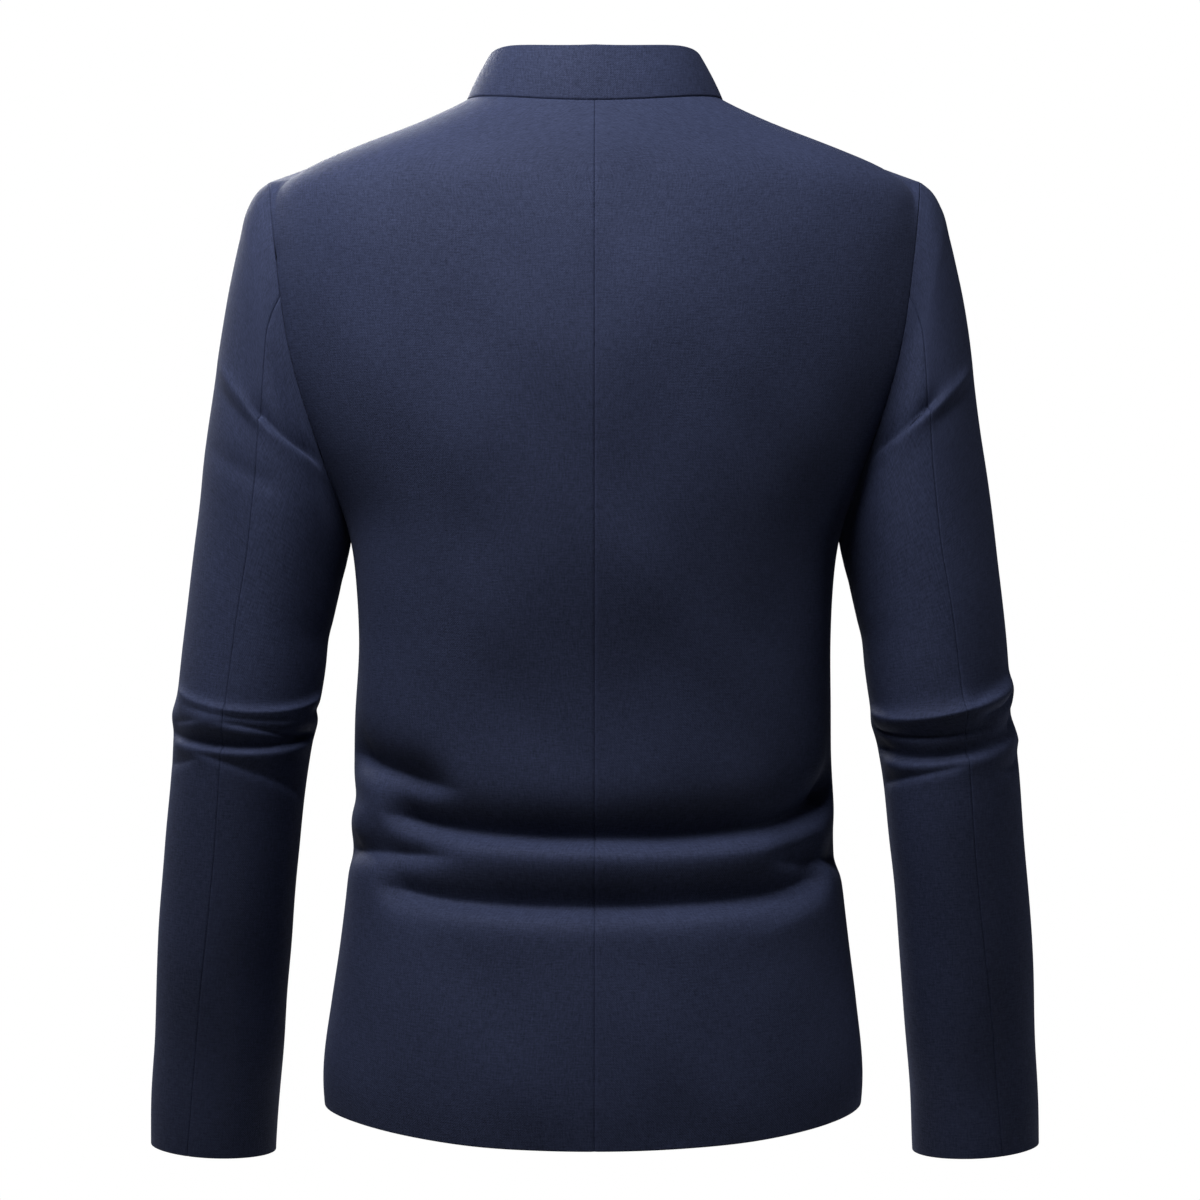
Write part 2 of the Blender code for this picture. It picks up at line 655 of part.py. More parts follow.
def build():
    """Makes the whole jacket in a collection of its own."""
    for old in list(bpy.data.objects):
        bpy.data.objects.remove(old)
    jacket = bpy.data.collections.new("mao_jacket")
    bpy.context.scene.collection.children.link(jacket)
    for hand, word in ((1, "left"), (-1, "right")):
        back = torso_wall("back", BACK_SHARES * hand)
        add_wall(f"back_{word}", apart(back, hand), jacket)

    left_shares = np.concatenate([[-LAP_SHARE], FRONT_SHARES])
    add_wall("front_left", torso_wall("front", left_shares), jacket)
    add_wall("front_right", torso_wall("front", -left_shares[::-1], under_lap), jacket)

    def back_seam(height):
        return smooth(SLEEVE, "back_seam", height)

    def front_seam(height):
        return smooth(SLEEVE, "front_seam", height)

    for hand, word in ((1, "left"), (-1, "right")):
        top = sleeve_wall(hand, lambda h: front_seam(h) - 360, back_seam, TOP_SLEEVE_COLUMNS)
        add_wall(f"sleeve_{word}_top", top, jacket)
        under = sleeve_wall(hand, back_seam, front_seam, UNDER_SLEEVE_COLUMNS)
        add_wall(f"sleeve_{word}_under", under, jacket)

    add_wall("collar", collar_wall(), jacket)
    for number in range(BUTTON_COUNT):
        height = BUTTON_TOP_Z - number * BUTTON_PITCH
        add_button(f"button_{number + 1}", height, jacket)


build()
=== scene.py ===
"""Dresses the mao jacket: fine cloth shells with seams and folds, turned buttons and a soft studio.

The jacket faces -Y with the wearer's left at +X, and the camera looks at its back. The panels, sleeves
and collar come from the same tables and curves as the part's solids, and their walls are finer here.
"""

import math

import bmesh
import bpy
import numpy as np
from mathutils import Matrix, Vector
from mathutils.bvhtree import BVHTree


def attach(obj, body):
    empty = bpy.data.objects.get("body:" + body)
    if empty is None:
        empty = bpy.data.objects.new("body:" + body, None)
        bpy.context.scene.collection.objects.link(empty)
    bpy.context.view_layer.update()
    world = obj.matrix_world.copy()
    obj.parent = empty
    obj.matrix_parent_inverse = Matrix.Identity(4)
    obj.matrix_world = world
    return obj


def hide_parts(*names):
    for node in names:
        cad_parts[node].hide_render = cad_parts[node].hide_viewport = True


# Sizes are in millimetres and degrees unless a name says otherwise, and the meshes are made in metres.
MM = 0.001
CLOTH = 1.6
COLLAR_CLOTH = 2.4
HEM_CLOTH = 2.4
HEM_TURN_UP = 32.0
HEM_EASE = 2.0
SEAM_CLEAR = 3.0
SEAM_GAP = 0.3

# A pressed seam draws the cloth in up to SEAM_REACH from it, more at a panel's sides and less at its
# neckline. A folded edge is round over FOLD_ROUND.
SEAM_SINK = 0.55
SEAM_REACH = 1.3
SIDE_SINK_SHARE = 1.5
NECK_SINK_SHARE = 0.4
FOLD_ROUND = 0.7

# How far the first rows and columns of a wall lie from its edges, how far apart the others are, and over
# what distance the steps change.
EDGE_STEPS = [0, 0.3, 0.7, 1.1, 1.6, 2.6]
PANEL_STEP = 2.9
PANEL_ROW_STEP = 4.5
SLEEVE_ROW_STEP = 4.2
STEP_EASE = 12.0

# A panel turns softly under the arm and over the shoulder: the height, how far from it the rows are
# eased, and by how much.
EASED_HEIGHTS = [(-290.0, 75.0, 15.0), (-56.0, 44.0, 12.0)]
EASED_EDGE = 9
EASED_RAMP = 1.8

# Below the neckline a front's columns are eased too, by this share of its width, from a row upwards.
EASED_SHARE = 0.05
EASED_SPREADS = 4
EASED_FROM_ROW = 0.4
EASED_OVER_ROWS = 0.2
EASED_NECK_ROWS = 0.02

# Near the armhole the walls turn square to it, over this distance along the cloth.
ARMHOLE_BLEND = 8.0
ROW_SLACK = 1e-6

# The shoulder seam runs from the neck to the tip of the shoulder, and the armhole from there down.
NECK_HALF_WIDTH = 86.0
TIP_X = 218.0
TIP_Z = -53.6
SHOULDER_SAG = 1.15
UNDERARM_X = 163.0
UNDERARM_Z = -290.0
NECK_DROP = {"back": 11.0, "front": 82.0}
NECK_POWER = {"back": 2.0, "front": 1.1}
ARMHOLE_DEPTH = {"back": 53.5, "front": -56.0}
HEM_SIDE_Z = -667.5
HEM_DROP = {"back": 13.5, "front": 8.0}

# Rough lengths of the cloth: from a panel's centre line to its side, from under the arm to the neck,
# round a sleeve for each radian, and up to the armhole for each millimetre of height.
PANEL_ARC = 250.0
UPPER_ARC = 200.0
SLEEVE_RADIUS = 50.0
CAP_STRETCH = 2.0

# The left front laps over the right one. The fronts are straight near the centre line.
LAP = 20.0
LAP_SLACK = 0.25
STRAIGHT_HALF_WIDTH = 34.0
STRAIGHT_SHARE = 0.2
LAP_SHARE = STRAIGHT_SHARE * LAP / STRAIGHT_HALF_WIDTH

BUTTON_THICK = 3.6
BUTTON_COUNT = 5

# Half of each button's section from its dished middle round the rim to its back, out and up.
BUTTON_DISH = [(0, 2.1), (5.6, 2.25), (6.9, 3.45), (8.2, 3.6)]
BUTTON_RIM = [(9.5, 3.1), (10, 2.2), (9.9, 1.1), (8.8, 0), (0, 0)]

# The four holes lie this far out on both axes.
HOLE_RADIUS = 0.95
HOLE_OFF = 1.75
DRILL_REACH = 4

# Three strands of thread cross each pair of holes, from a share of the button's thickness upwards, and
# dip into the holes.
THREAD_LEVEL = 0.62
THREAD_RISE = 0.55
STRANDS = [(-0.42, 0.8), (0.0, 1), (0.42, 0.8)]

# A buttonhole runs from under the button to its far end, where its stitches fan out. A stitch has four
# points: their places off the slit, the third a share of the length, and their heights off the cloth.
HOLE_START = 5.0
HOLE_END = 17.0
STITCH_PITCH = 0.5
STITCH_LENGTH = 1.9
SHORT_STITCH = 0.93
STITCH_ROOTS = (0.12, 0.45)
FAN_ROOTS = (0.15, 0.6)
STITCH_BEND = 0.75
STITCH_LIFTS = (0.05, 0.30, 0.24, -0.08)

COLLAR_END_GAP = 2.0
COLLAR_CORNER = 15.0
COLLAR_BULGE = 0.8
COLLAR_TUCK = 5.0


def table(columns, *rows):
    """A table as a dict of its named columns."""
    return dict(zip(columns.split(), np.array(rows, float).T))


TORSO = table(
    "height half_width back front power",
    (-690, 175.5, 118, -116, 2.3),
    (-650, 178.6, 119, -117, 2.3),
    (-600, 174.3, 115, -116, 2.3),
    (-560, 169.6, 109, -115.5, 2.3),
    (-520, 165.2, 102.5, -115.5, 2.3),
    (-480, 161.4, 97, -116, 2.3),
    (-440, 158.4, 95, -117.5, 2.3),
    (-400, 157.8, 97, -120, 2.3),
    (-360, 157.4, 102, -124, 2.3),
    (-320, 159.4, 108.5, -128.5, 2.28),
    (-290, 163, 112.5, -131, 2.22),
    (-230, 186, 117, -131, 2.1),
    (-170, 205, 117, -121, 2.05),
    (-120, 214, 112, -98, 2.05),
    (-80, 218, 103.5, -69, 2.05),
    (-54, 218, 95, -56, 2.05),
    (-30, 162, 84, -43, 2.05),
    (-11, 115, 72, -30, 2.05),
    (0, 86, 64, -20, 2.05),
)

# The armhole seen from behind and in front, by the angle down from the tip of the shoulder.
ARMHOLE = table(
    "angle back front",
    (0, 218, 218),
    (30, 214.5, 212),
    (60, 208.5, 202),
    (90, 199, 190),
    (120, 182, 176.5),
    (150, 167.5, 166.5),
    (180, 163, 163),
)

SLEEVE = table(
    "height tilt outer_x inner_x centre_y half_depth back_seam front_seam",
    (-706.5, 3, 302.5, 217.2, -35, 43.5, 73, 238),
    (-650, 4, 299.9, 213.3, -26, 45.5, 76.5, 238),
    (-600, 4, 296.4, 208.9, -17, 47.5, 79, 238),
    (-550, 4, 292.3, 203.5, -8, 49.5, 81.5, 238),
    (-500, 4, 287.7, 198.7, 0, 51.5, 83, 238),
    (-450, 4.5, 282.7, 193.2, 6, 54, 82, 238),
    (-420, 5, 279.5, 187.8, 8, 55, 80.5, 238),
    (-395, 6, 276.7, 183.6, 8, 56, 79.5, 238),
    (-370, 9, 274.3, 180.4, 7, 57.5, 80, 238),
    (-345, 15, 271.2, 178.3, 6, 59, 81, 238),
    (-323, 24, 267.4, 175.2, 5, 60.5, 81.5, 237),
    (-305, 32, 264.3, 173, 4.5, 61.5, 82, 236),
    (-288, 41, 261.3, 171.3, 4, 62.5, 81.5, 235),
    (-271, 51, 257.8, 169.9, 3.5, 63, 80.5, 234),
    (-255, 62, 254.4, 168.6, 3, 63, 79.5, 233),
    (-239, 73, 251, 167.3, 2.5, 62.5, 77.5, 232),
    (-223.5, 83.5, 246.8, 166.2, 2, 61.5, 75.5, 231),
    (-209, 94, 242.4, 165.2, 1.5, 60, 75, 230),
    (-195.8, 103.7, 238, 164.4, 1, 58.5, 75.5, 230),
    (-184, 112, 232.8, 163.7, 0.5, 56.8, 75.5, 230),
    (-176.5, 116.8, 225.4, 163.3, 0, 55.4, 74, 230),
    (-171.8, 118.2, 218, 163, 0, 54.5, 72, 230),
)
ARMHOLE_HEIGHT = SLEEVE["height"][-1]
CUFF_HEIGHT = SLEEVE["height"][0]
CAP_FADE = 55.0

# Where the cloth folds, the rows are closer: the lowest and highest height, and the step.
PANEL_FINE_ROWS = [(-562, -425, 1.3)]
SLEEVE_FINE_ROWS = [(-470, -370, 0.95), (-330, ARMHOLE_HEIGHT, 1.9)]

COLLAR = table(
    "angle rise lean",
    (0, 37.5, 9),
    (45, 35, 11.5),
    (90, 28.5, 15),
    (135, 31.5, 11.5),
    (180, 34, 8),
)

def folds(*rows):
    """A table of folds. Each is a ridge, or a valley where its rise is below zero.

    It runs from start to end along the cloth and from start_z to end_z in height, with a bow at its
    middle, and is above and below wide. A power of 2 is a soft roll, and near 1 a crisp crease.
    """
    return table("start end start_z end_z bow rise above below taper power", *rows)



# Along the torso: degrees from the centre back, which grow towards the wearer's left.
TORSO_FOLDS = folds(
    (61, -90, -470, -455, -22, -16.5, 17, 7, 14, 1.45),
    (40, -80, -486, -480, -14, 2.2, 7, 16, 25, 1.6),
    (120, 58, -466, -464, 0, -1.6, 11, 9, 20, 2),
    (60, -72, -517, -511, -14, -14.5, 18, 8, 13, 1.4),
    (40, -55, -531, -528, -10, 2, 8, 22, 25, 1.7),
    (90, 27, -434, -457, 1, -11.5, 15, 8, 18, 1.4),
    (97, 27, -501, -498, 2, -9.5, 15, 7, 18, 1.35),
    (110, 58, -486, -484, 0, 2.2, 14, 12, 18, 2),
    (-38, -100, -499, -507, 0, -9, 19, 7, 16, 1.35),
    (-68, -24, -530, -556, 2, 1.3, 7, 12, 22, 1.7),
    (30, 150, -430, -425, 0, 3, 45, 40, 30, 2),
    (45, 140, -645, -640, 0, 2.5, 60, 80, 30, 2),
    (170, 118, -470, -450, -4, -5.5, 13, 8, 16, 1.5),
    (-168, -120, -464, -446, -4, -5.5, 13, 8, 16, 1.5),
    (166, 124, -512, -500, -4, -4.5, 12, 8, 16, 1.5),
    (-166, -122, -508, -514, -4, -4.5, 12, 8, 16, 1.5),
    (88, 60, -106, -110, 1, -1.6, 4, 3, 12, 1.5),
    (62, 100, -232, -262, 4, -1.8, 16, 10, 18, 1.7),
    (-62, -100, -236, -266, 4, -2.2, 16, 10, 18, 1.7),
    (178, 140, -396, -372, -3, -2.2, 12, 9, 14, 1.6),
    (-178, -146, -388, -368, -3, -2.2, 12, 9, 14, 1.6),
)

# Along the sleeves: degrees from the outer point over the back. Both elbows crease, not quite alike.
ELBOW_FOLDS = {
    1: folds(
        (-40, 205, -414, -410, -3, 2.2, 9, 9, 40, 2),
        (14, 182, -394, -386, -15, 3.2, 2.6, 14, 24, 1.3),
        (150, 205, -402, -402, 0, -2, 4, 3.5, 22, 1.5),
        (30, 150, -405, -407, -4, -1.2, 4, 2.4, 30, 1.3),
        (70, 178, -413.5, -423, 1, -2.8, 7, 2, 22, 1.25),
        (14, 66, -419, -413, -1, -1.6, 7, 2.4, 20, 1.3),
        (4, 186, -425, -414.5, -9.5, -4.6, 8, 2.6, 26, 1.25),
        (12, 178, -427.5, -418, -9.5, 2.6, 2.6, 7, 24, 1.4),
        (50, 176, -434, -462, 3, -1.8, 7, 3, 26, 1.35),
        (4, 66, -447, -438, -2, -1.6, 6, 3, 22, 1.35),
    ),
    -1: folds(
        (6, 78, -384, -402, -4, -3, 10, 2.4, 14, 1.25),
        (-40, 205, -392, -412, -4, 2.9, 9, 9, 40, 2),
        (6, 180, -384, -398, -16, 4.4, 2.8, 12, 22, 1.3),
        (-2, 70, -390, -412, -5, -4.1, 6, 2.4, 18, 1.3),
        (46, 184, -417, -411, -7, -3.4, 8, 2.2, 22, 1.25),
        (-8, 188, -414, -426, -16, -6.3, 11, 2.8, 24, 1.25),
        (10, 176, -419, -430, -14, 2.9, 2.8, 8, 22, 1.4),
        (-30, 20, -430, -433, 0, 3.2, 9, 5, 30, 1.8),
        (78, 184, -441, -452, 0, -2.7, 7, 3, 22, 1.35),
        (4, 60, -438, -447, -5, -2.2, 7, 3, 22, 1.35),
    ),
}

# Behind the armpit a drag line runs across the back of each sleeve: here along is the distance from
# the centre back.
DRAG_FOLDS = {
    1: folds(
        (254, 174, -169, -248, -11, 2.2, 5, 10, 16, 1.5),
        (230, 156, -202.5, -258, -4, -6, 8, 1.7, 14, 1.15),
        (256, 208, -180, -229, -8, -1.3, 6, 11, 18, 1.7),
        (262, 196, -226, -262, -6, -1.3, 9, 8, 20, 1.8),
    ),
    -1: folds(
        (254, 173, -174, -246, -5, 2.3, 5, 10, 16, 1.5),
        (230, 156, -197, -256.5, -2, -6, 8, 1.7, 14, 1.15),
        (252, 212, -185, -222, -5, -1.5, 5, 10, 14, 1.6),
    ),
}

# The drag lines fade from the back of the sleeve to its front, and all lifts fade near the armhole.
DRAG_RAMP = 1.6
DRAG_START = 0.1
CAP_EASE = 12.0

# Slow waves keep the smooth parts of the cloth from being too even: wave lengths along x and z, the
# phase, and the height. The wave length along y is WAVE_DEPTH, and the waves fade near a panel's edges.
WAVE_DEPTH = 260
WAVE_FADE = 40.0
SLEEVE_WAVE_SHARE = 0.7
SLOW_WAVES = [
    (310, 145, 0.4, 0.55),
    (-190, 210, 2.1, 0.45),
    (120, -95, 4.4, 0.28),
    (75, 160, 1.2, 0.22),
    (-60, 70, 5.5, 0.12),
]

# The degrees round a sleeve that its two pieces cover where they meet the armhole.
TOP_SLEEVE_SPAN = (-130.0, 72.0)
UNDER_SLEEVE_SPAN = (72.0, 230.0)

# The cloth's darkest and lightest colour, and the tones at which it reaches them.
CLOTH_DARK = (0.0163, 0.0207, 0.0441)
CLOTH_LIGHT = (0.0366, 0.0462, 0.0970)

# Noise per metre along and across a thread, and what weave, clouds and twill add to tone and relief.
THREAD_SCALES = (150, 1000)
WEAVE_TONE = 0.333
CLOUD_TONE = 0.15
TWILL_HEIGHT = 0.5

# The studio, in metres. The camera stands level behind the jacket, at the height of the frame's middle.
CAMERA_PLACE = (-0.0034, 1.9, -0.3337)
LENS_MM = 85.0
FLOOR_Z = -1.45
FLOOR_RADIUS = 3.0
FLOOR_GLOW = 0.8
WORLD_GLOW = 0.028

# Each softbox: its name, its place, the place that it faces, its width and height, and its watts.
SOFTBOXES = [
    ("key", (0.36, 0.6, 0.82), (0.0, 0.1, -0.25), 0.8, 0.6, 27.5),
    ("front_key", (0.7, -1.6, 0.75), (0, 0, -0.3), 1.1, 0.9, 48),
    ("front_fill", (1.7, -0.9, 0.5), (0, 0, -0.3), 1.0, 1.4, 9),
    ("side_fill", (-1.9, 0.3, 0.6), (0, 0, -0.3), 1.0, 1.4, 6.5),
]


def smooth(rows, name, at, key="height"):
    """The named column at these places, on one smooth curve through the table's rows."""
    knots, values = rows[key], rows[name]
    slopes = np.gradient(values, knots)
    at = np.clip(at, knots[0], knots[-1])
    low = np.clip(np.searchsorted(knots, at) - 1, 0, len(knots) - 2)
    span = knots[low + 1] - knots[low]
    s = (at - knots[low]) / span
    rise = values[low + 1] - values[low]
    turn = s * (1 - s) * ((1 - s) * slopes[low] - s * slopes[low + 1])
    return values[low] + s * s * (3 - 2 * s) * rise + span * turn


def eased(s):
    """0 below 0, 1 above 1, and a smooth step between."""
    s = np.clip(s, 0, 1)
    return s * s * (3 - 2 * s)


def unit(vectors):
    """The vectors at a length of 1."""
    return vectors / np.maximum(np.linalg.norm(vectors, axis=-1, keepdims=True), 1e-12)


def fold_height(rows, along, z):
    """How far the folds of a table lift the cloth, in millimetres."""
    height = np.zeros(np.broadcast(along, z).shape)
    for start, end, start_z, end_z, bow, rise, above, below, taper, power in zip(*rows.values()):
        s = (along - start) / (end - start)
        off = z - (start_z + (end_z - start_z) * s + bow * 4 * s * (1 - s))
        ends = eased(np.minimum(s, 1 - s) * abs(end - start) / taper)
        wide = np.abs(off / np.where(off > 0, above, below))
        height += rise * ends * np.exp(-(wide**power))
    return height


def slow_waves(points):
    """A soft unevenness of the cloth, in millimetres."""
    height = np.zeros(points.shape[:-1])
    for wave_x, wave_z, phase, rise in SLOW_WAVES:
        along = points[..., 0] / wave_x + points[..., 2] / wave_z + points[..., 1] / WAVE_DEPTH
        height += rise * np.sin(2 * math.pi * along + phase)
    return height


def armhole_angle(z):
    """Angle down the armhole at a height, in degrees: 0 at the shoulder's tip, 180 under the arm."""
    middle, half = (TIP_Z + UNDERARM_Z) / 2, (TIP_Z - UNDERARM_Z) / 2
    return np.degrees(np.arccos(np.clip((z - middle) / half, -1, 1)))


def edge_of(side, z):
    """x and y of a panel's outer edge: the side seam, then the armhole, then the shoulder seam."""
    angle = armhole_angle(z)
    arm_x = smooth(ARMHOLE, side, angle, key="angle")
    arm_y = ARMHOLE_DEPTH[side] * np.sin(np.radians(angle))
    seam_x = NECK_HALF_WIDTH + (TIP_X - NECK_HALF_WIDTH) * np.clip(z / TIP_Z, 0, 1) ** SHOULDER_SAG
    x = np.where(z < UNDERARM_Z, smooth(TORSO, "half_width", z), np.where(z > TIP_Z, seam_x, arm_x))
    return x, np.where((z > UNDERARM_Z) & (z < TIP_Z), arm_y, 0)


def section_of(side, z):
    """Half width, depth and power of the whole oval that a panel's section at z is cut from."""
    edge_x, edge_y = edge_of(side, z)
    depth, power = smooth(TORSO, side, z), smooth(TORSO, "power", z)
    reach = edge_x / (1 - (edge_y / depth) ** power) ** (1 / power)
    return reach, depth, power


def turn_at(side, x, z):
    """Angle round the oval at which the section at z is x away from the middle."""
    reach, _, power = section_of(side, z)
    return np.arcsin(np.clip(x / reach, 0, 1) ** (power / 2))


def on_torso(side, turn, z):
    """x and y at an angle round the section at z."""
    reach, depth, power = section_of(side, z)
    x = reach * np.clip(np.sin(turn), 0, 1) ** (2 / power)
    return x, depth * np.clip(np.cos(turn), 0, 1) ** (2 / power)


def edge_turn(side, z):
    """Angle round the oval of a panel's outer edge."""
    return turn_at(side, edge_of(side, z)[0], z)


def straight_and_rest(share):
    """How far along a front's straight middle a share of the front lies, and along the rest."""
    straight = np.minimum(share / STRAIGHT_SHARE, 1) * STRAIGHT_HALF_WIDTH
    return straight, np.clip((share - STRAIGHT_SHARE) / (1 - STRAIGHT_SHARE), 0, 1)


def turn_of_share(side, share, z):
    """The angle at a share of the way from the centre line to the panel's edge."""
    if side == "back":
        return share * edge_turn(side, z)
    straight, rest = straight_and_rest(share)
    start = turn_at(side, straight, z)
    return start + rest * (edge_turn(side, z) - start)


def neck_angle(side, share):
    """Angle round the neckline from the centre line, at a share of the way to the shoulder seam."""
    if side == "back":
        return share * math.pi / 2
    straight, rest = straight_and_rest(share)
    start = np.arcsin(straight / NECK_HALF_WIDTH)
    return start + rest * (math.pi / 2 - start)


def neckline(side, angle):
    """x, y and z of the neckline, at an angle from the centre line."""
    x = NECK_HALF_WIDTH * np.sin(angle)
    z = -NECK_DROP[side] * np.clip(np.cos(angle), 0, 1) ** NECK_POWER[side]
    return x, on_torso(side, turn_at(side, x, z), z)[1], z


def plain_torso(side, share, row):
    """Points of the torso without folds, and the angle round it in degrees from the centre back.

    Share runs from -1, the right edge, to 1. Row runs from -1, the hem, over 0, under the arm, to 1.
    """
    off = np.abs(share)
    neck_x, _, neck_z = neckline(side, neck_angle(side, off))
    hem_z = HEM_SIDE_Z - HEM_DROP[side] * np.cos(off * math.pi / 2) ** 2
    reach = np.where(row < 0, UNDERARM_Z - hem_z, neck_z - UNDERARM_Z)
    z = UNDERARM_Z + reach * row
    ratio = turn_of_share(side, off, z) / edge_turn(side, z)
    neck_ratio = turn_at(side, neck_x, neck_z) / edge_turn(side, neck_z)
    turn = (ratio + (neck_ratio - ratio) * eased(2 * row - 1)) * edge_turn(side, z)
    x, y = on_torso(side, turn, z)
    round_degrees = np.degrees(turn) if side == "back" else 180 - np.degrees(turn)
    hand = np.where(share < 0, -1, 1)
    return np.stack([x * hand, y, z], -1), round_degrees * hand


def slopes_of(surface, a, b, step=0.5):
    """Unit normals of a surface, from points a small step to each side."""
    along_a = surface(a + step, b) - surface(a - step, b)
    along_b = surface(a, b + step) - surface(a, b - step)
    return unit(np.cross(along_a, along_b))


def closed_at_edges(share, row, normals):
    """Turns the normals at the side and shoulder seams square to the seam, so that both sides meet."""
    flat = unit(normals * (1, 0, 1))
    at_edge = (np.abs(share) > 0.999) & ((row <= 0) | (row >= row_of(TIP_Z)))
    return np.where(at_edge[..., None], flat, normals)


def row_of(z):
    """The row that has this height at the panel's outer edge."""
    z = np.asarray(z, float)
    return np.where(z < UNDERARM_Z, (z - UNDERARM_Z) / (UNDERARM_Z - HEM_SIDE_Z), 1 - z / UNDERARM_Z)


def armhole_normal(degrees):
    """The way out in the armhole's own plane, which the torso's and the sleeve's edges share."""
    turn = np.radians(degrees)
    long_axis = np.array([TIP_X - UNDERARM_X, 0, TIP_Z - UNDERARM_Z]) / 2
    half_length = np.linalg.norm(long_axis)
    along = np.cos(turn)[..., None] * long_axis / half_length**2
    across = np.sin(turn)[..., None] * np.array([0, 1, 0]) / ARMHOLE_DEPTH["back"]
    return unit(along + across)


def toward(normals, target, weight):
    """Turns normals towards a target by a weight, but only where the two face the same way."""
    agree = np.clip(2 * (normals * target).sum(-1), 0, 1)
    weight = (weight * agree)[..., None]
    return unit(normals * (1 - weight) + target * weight)


def with_edges(start, end, step):
    """Places from start to end, a step apart, and closer by the steps of an edge at both ends."""
    edge = np.array(EDGE_STEPS)
    inner = np.linspace(start + edge[-1], end - edge[-1], max(2, round((end - start) / step)))
    return np.concatenate([start + edge[:-1], inner, end - edge[-2::-1]])


def seam_sink(distance):
    """How far a pressed seam draws the cloth in, at a distance from its edge."""
    return SEAM_SINK * np.clip(1 - distance / SEAM_REACH, 0, 1) ** 2


def fold_round(distance):
    """How far a folded edge draws each skin in, at a distance from the edge."""
    near = np.clip(1 - distance / FOLD_ROUND, 0, 1)
    return FOLD_ROUND * (1 - np.sqrt(1 - near**2))


def spaced(start, end, step, zones):
    """Places from start to end, a step apart, and closer by its own step in each zone."""
    fine = np.linspace(start, end, num=4000)
    steps = np.full(fine.shape, float(step))
    for low, high, zone_step in zones:
        inside = eased(np.minimum(fine - low, high - fine) / STEP_EASE + 0.5)
        steps = np.minimum(steps, step + (zone_step - step) * inside)
    count = np.concatenate([[0], np.cumsum(np.diff(fine) / steps[1:])])
    return np.interp(np.linspace(0, count[-1], round(count[-1]) + 1), count, fine)


def torso_rows():
    """Heights of a panel's rows at its outer edge, close together where the cloth folds."""
    bottom = HEM_SIDE_Z + EDGE_STEPS[-1]
    lower = spaced(bottom, UNDERARM_Z - 2, PANEL_ROW_STEP, PANEL_FINE_ROWS)
    hem = HEM_SIDE_Z + np.array(EDGE_STEPS[:-1])
    angles = np.radians(np.linspace(180, 0, num=73))
    armhole = (TIP_Z + UNDERARM_Z) / 2 + (TIP_Z - UNDERARM_Z) / 2 * np.cos(angles)
    upper = with_edges(TIP_Z, 0, step=3.5)[len(EDGE_STEPS) :]
    return np.concatenate([hem, lower, armhole, upper])


def grid_normals(points, rows, columns):
    """Unit normals of a grid of points at these places along its rows and columns."""
    return unit(np.cross(np.gradient(points, rows, axis=0), np.gradient(points, columns, axis=1)))


def eased_rows(points, heights, from_side):
    """Lets the rows of a panel settle where its shape would turn too sharply."""
    steps = np.gradient(heights)
    for height, reach, spread in EASED_HEIGHTS:
        apart_by = (heights[:, None] - heights[None]) / spread
        share = np.exp(-(apart_by**2) / 2) * steps
        settled = np.einsum("ij,jkc->ikc", share / share.sum(1, keepdims=True), points)
        near = eased(EASED_RAMP * (1 - np.abs(heights - height) / reach))
        weight = near[:, None] * eased(from_side / EASED_EDGE)
        points = points + (settled - points) * weight[..., None]
    return points


def eased_columns(points, shares, row):
    """Lets a front's columns settle below the place where its neckline passes the shoulder's height."""
    trial = np.linspace(0, 1, num=400)
    tip_share = np.interp(TIP_Z, neckline("front", neck_angle("front", trial))[2], trial)
    apart_by = (shares[:, None] - shares[None]) / EASED_SHARE
    share = np.exp(-(apart_by**2) / 2) * np.abs(np.gradient(shares))
    settled = np.einsum("jk,ikc->ijc", share / share.sum(1, keepdims=True), points)
    near = eased(EASED_RAMP * (1 - np.abs(np.abs(shares) - tip_share) / (EASED_SPREADS * EASED_SHARE)))
    from_rows = eased((row - EASED_FROM_ROW) / EASED_OVER_ROWS)
    weight = near * from_rows * eased((1 - row) / EASED_NECK_ROWS)
    return points + (settled - points) * weight[..., None]


def toward_edge(points, normals, share, row, facing, from_side):
    """Turns the normals near a panel's outer edge as its neighbour's turn, so that both sides meet."""
    on_arm = (row >= 0) & (row <= row_of(TIP_Z) + ROW_SLACK)
    ring = armhole_normal(armhole_angle(points[..., 2])) * (1, facing, 1)
    ring[..., 0] *= np.where(share < 0, -1, 1)
    flat = unit(normals * (1, 0, 1))
    weight = eased(1 - from_side / ARMHOLE_BLEND)
    return toward(normals, np.where(on_arm[..., None], ring, flat), weight)


def hem_thickness(from_hem):
    """The wall's thickness at a distance up from the hem or cuff."""
    return CLOTH + (HEM_CLOTH - CLOTH) * eased((HEM_TURN_UP - from_hem) / HEM_EASE)


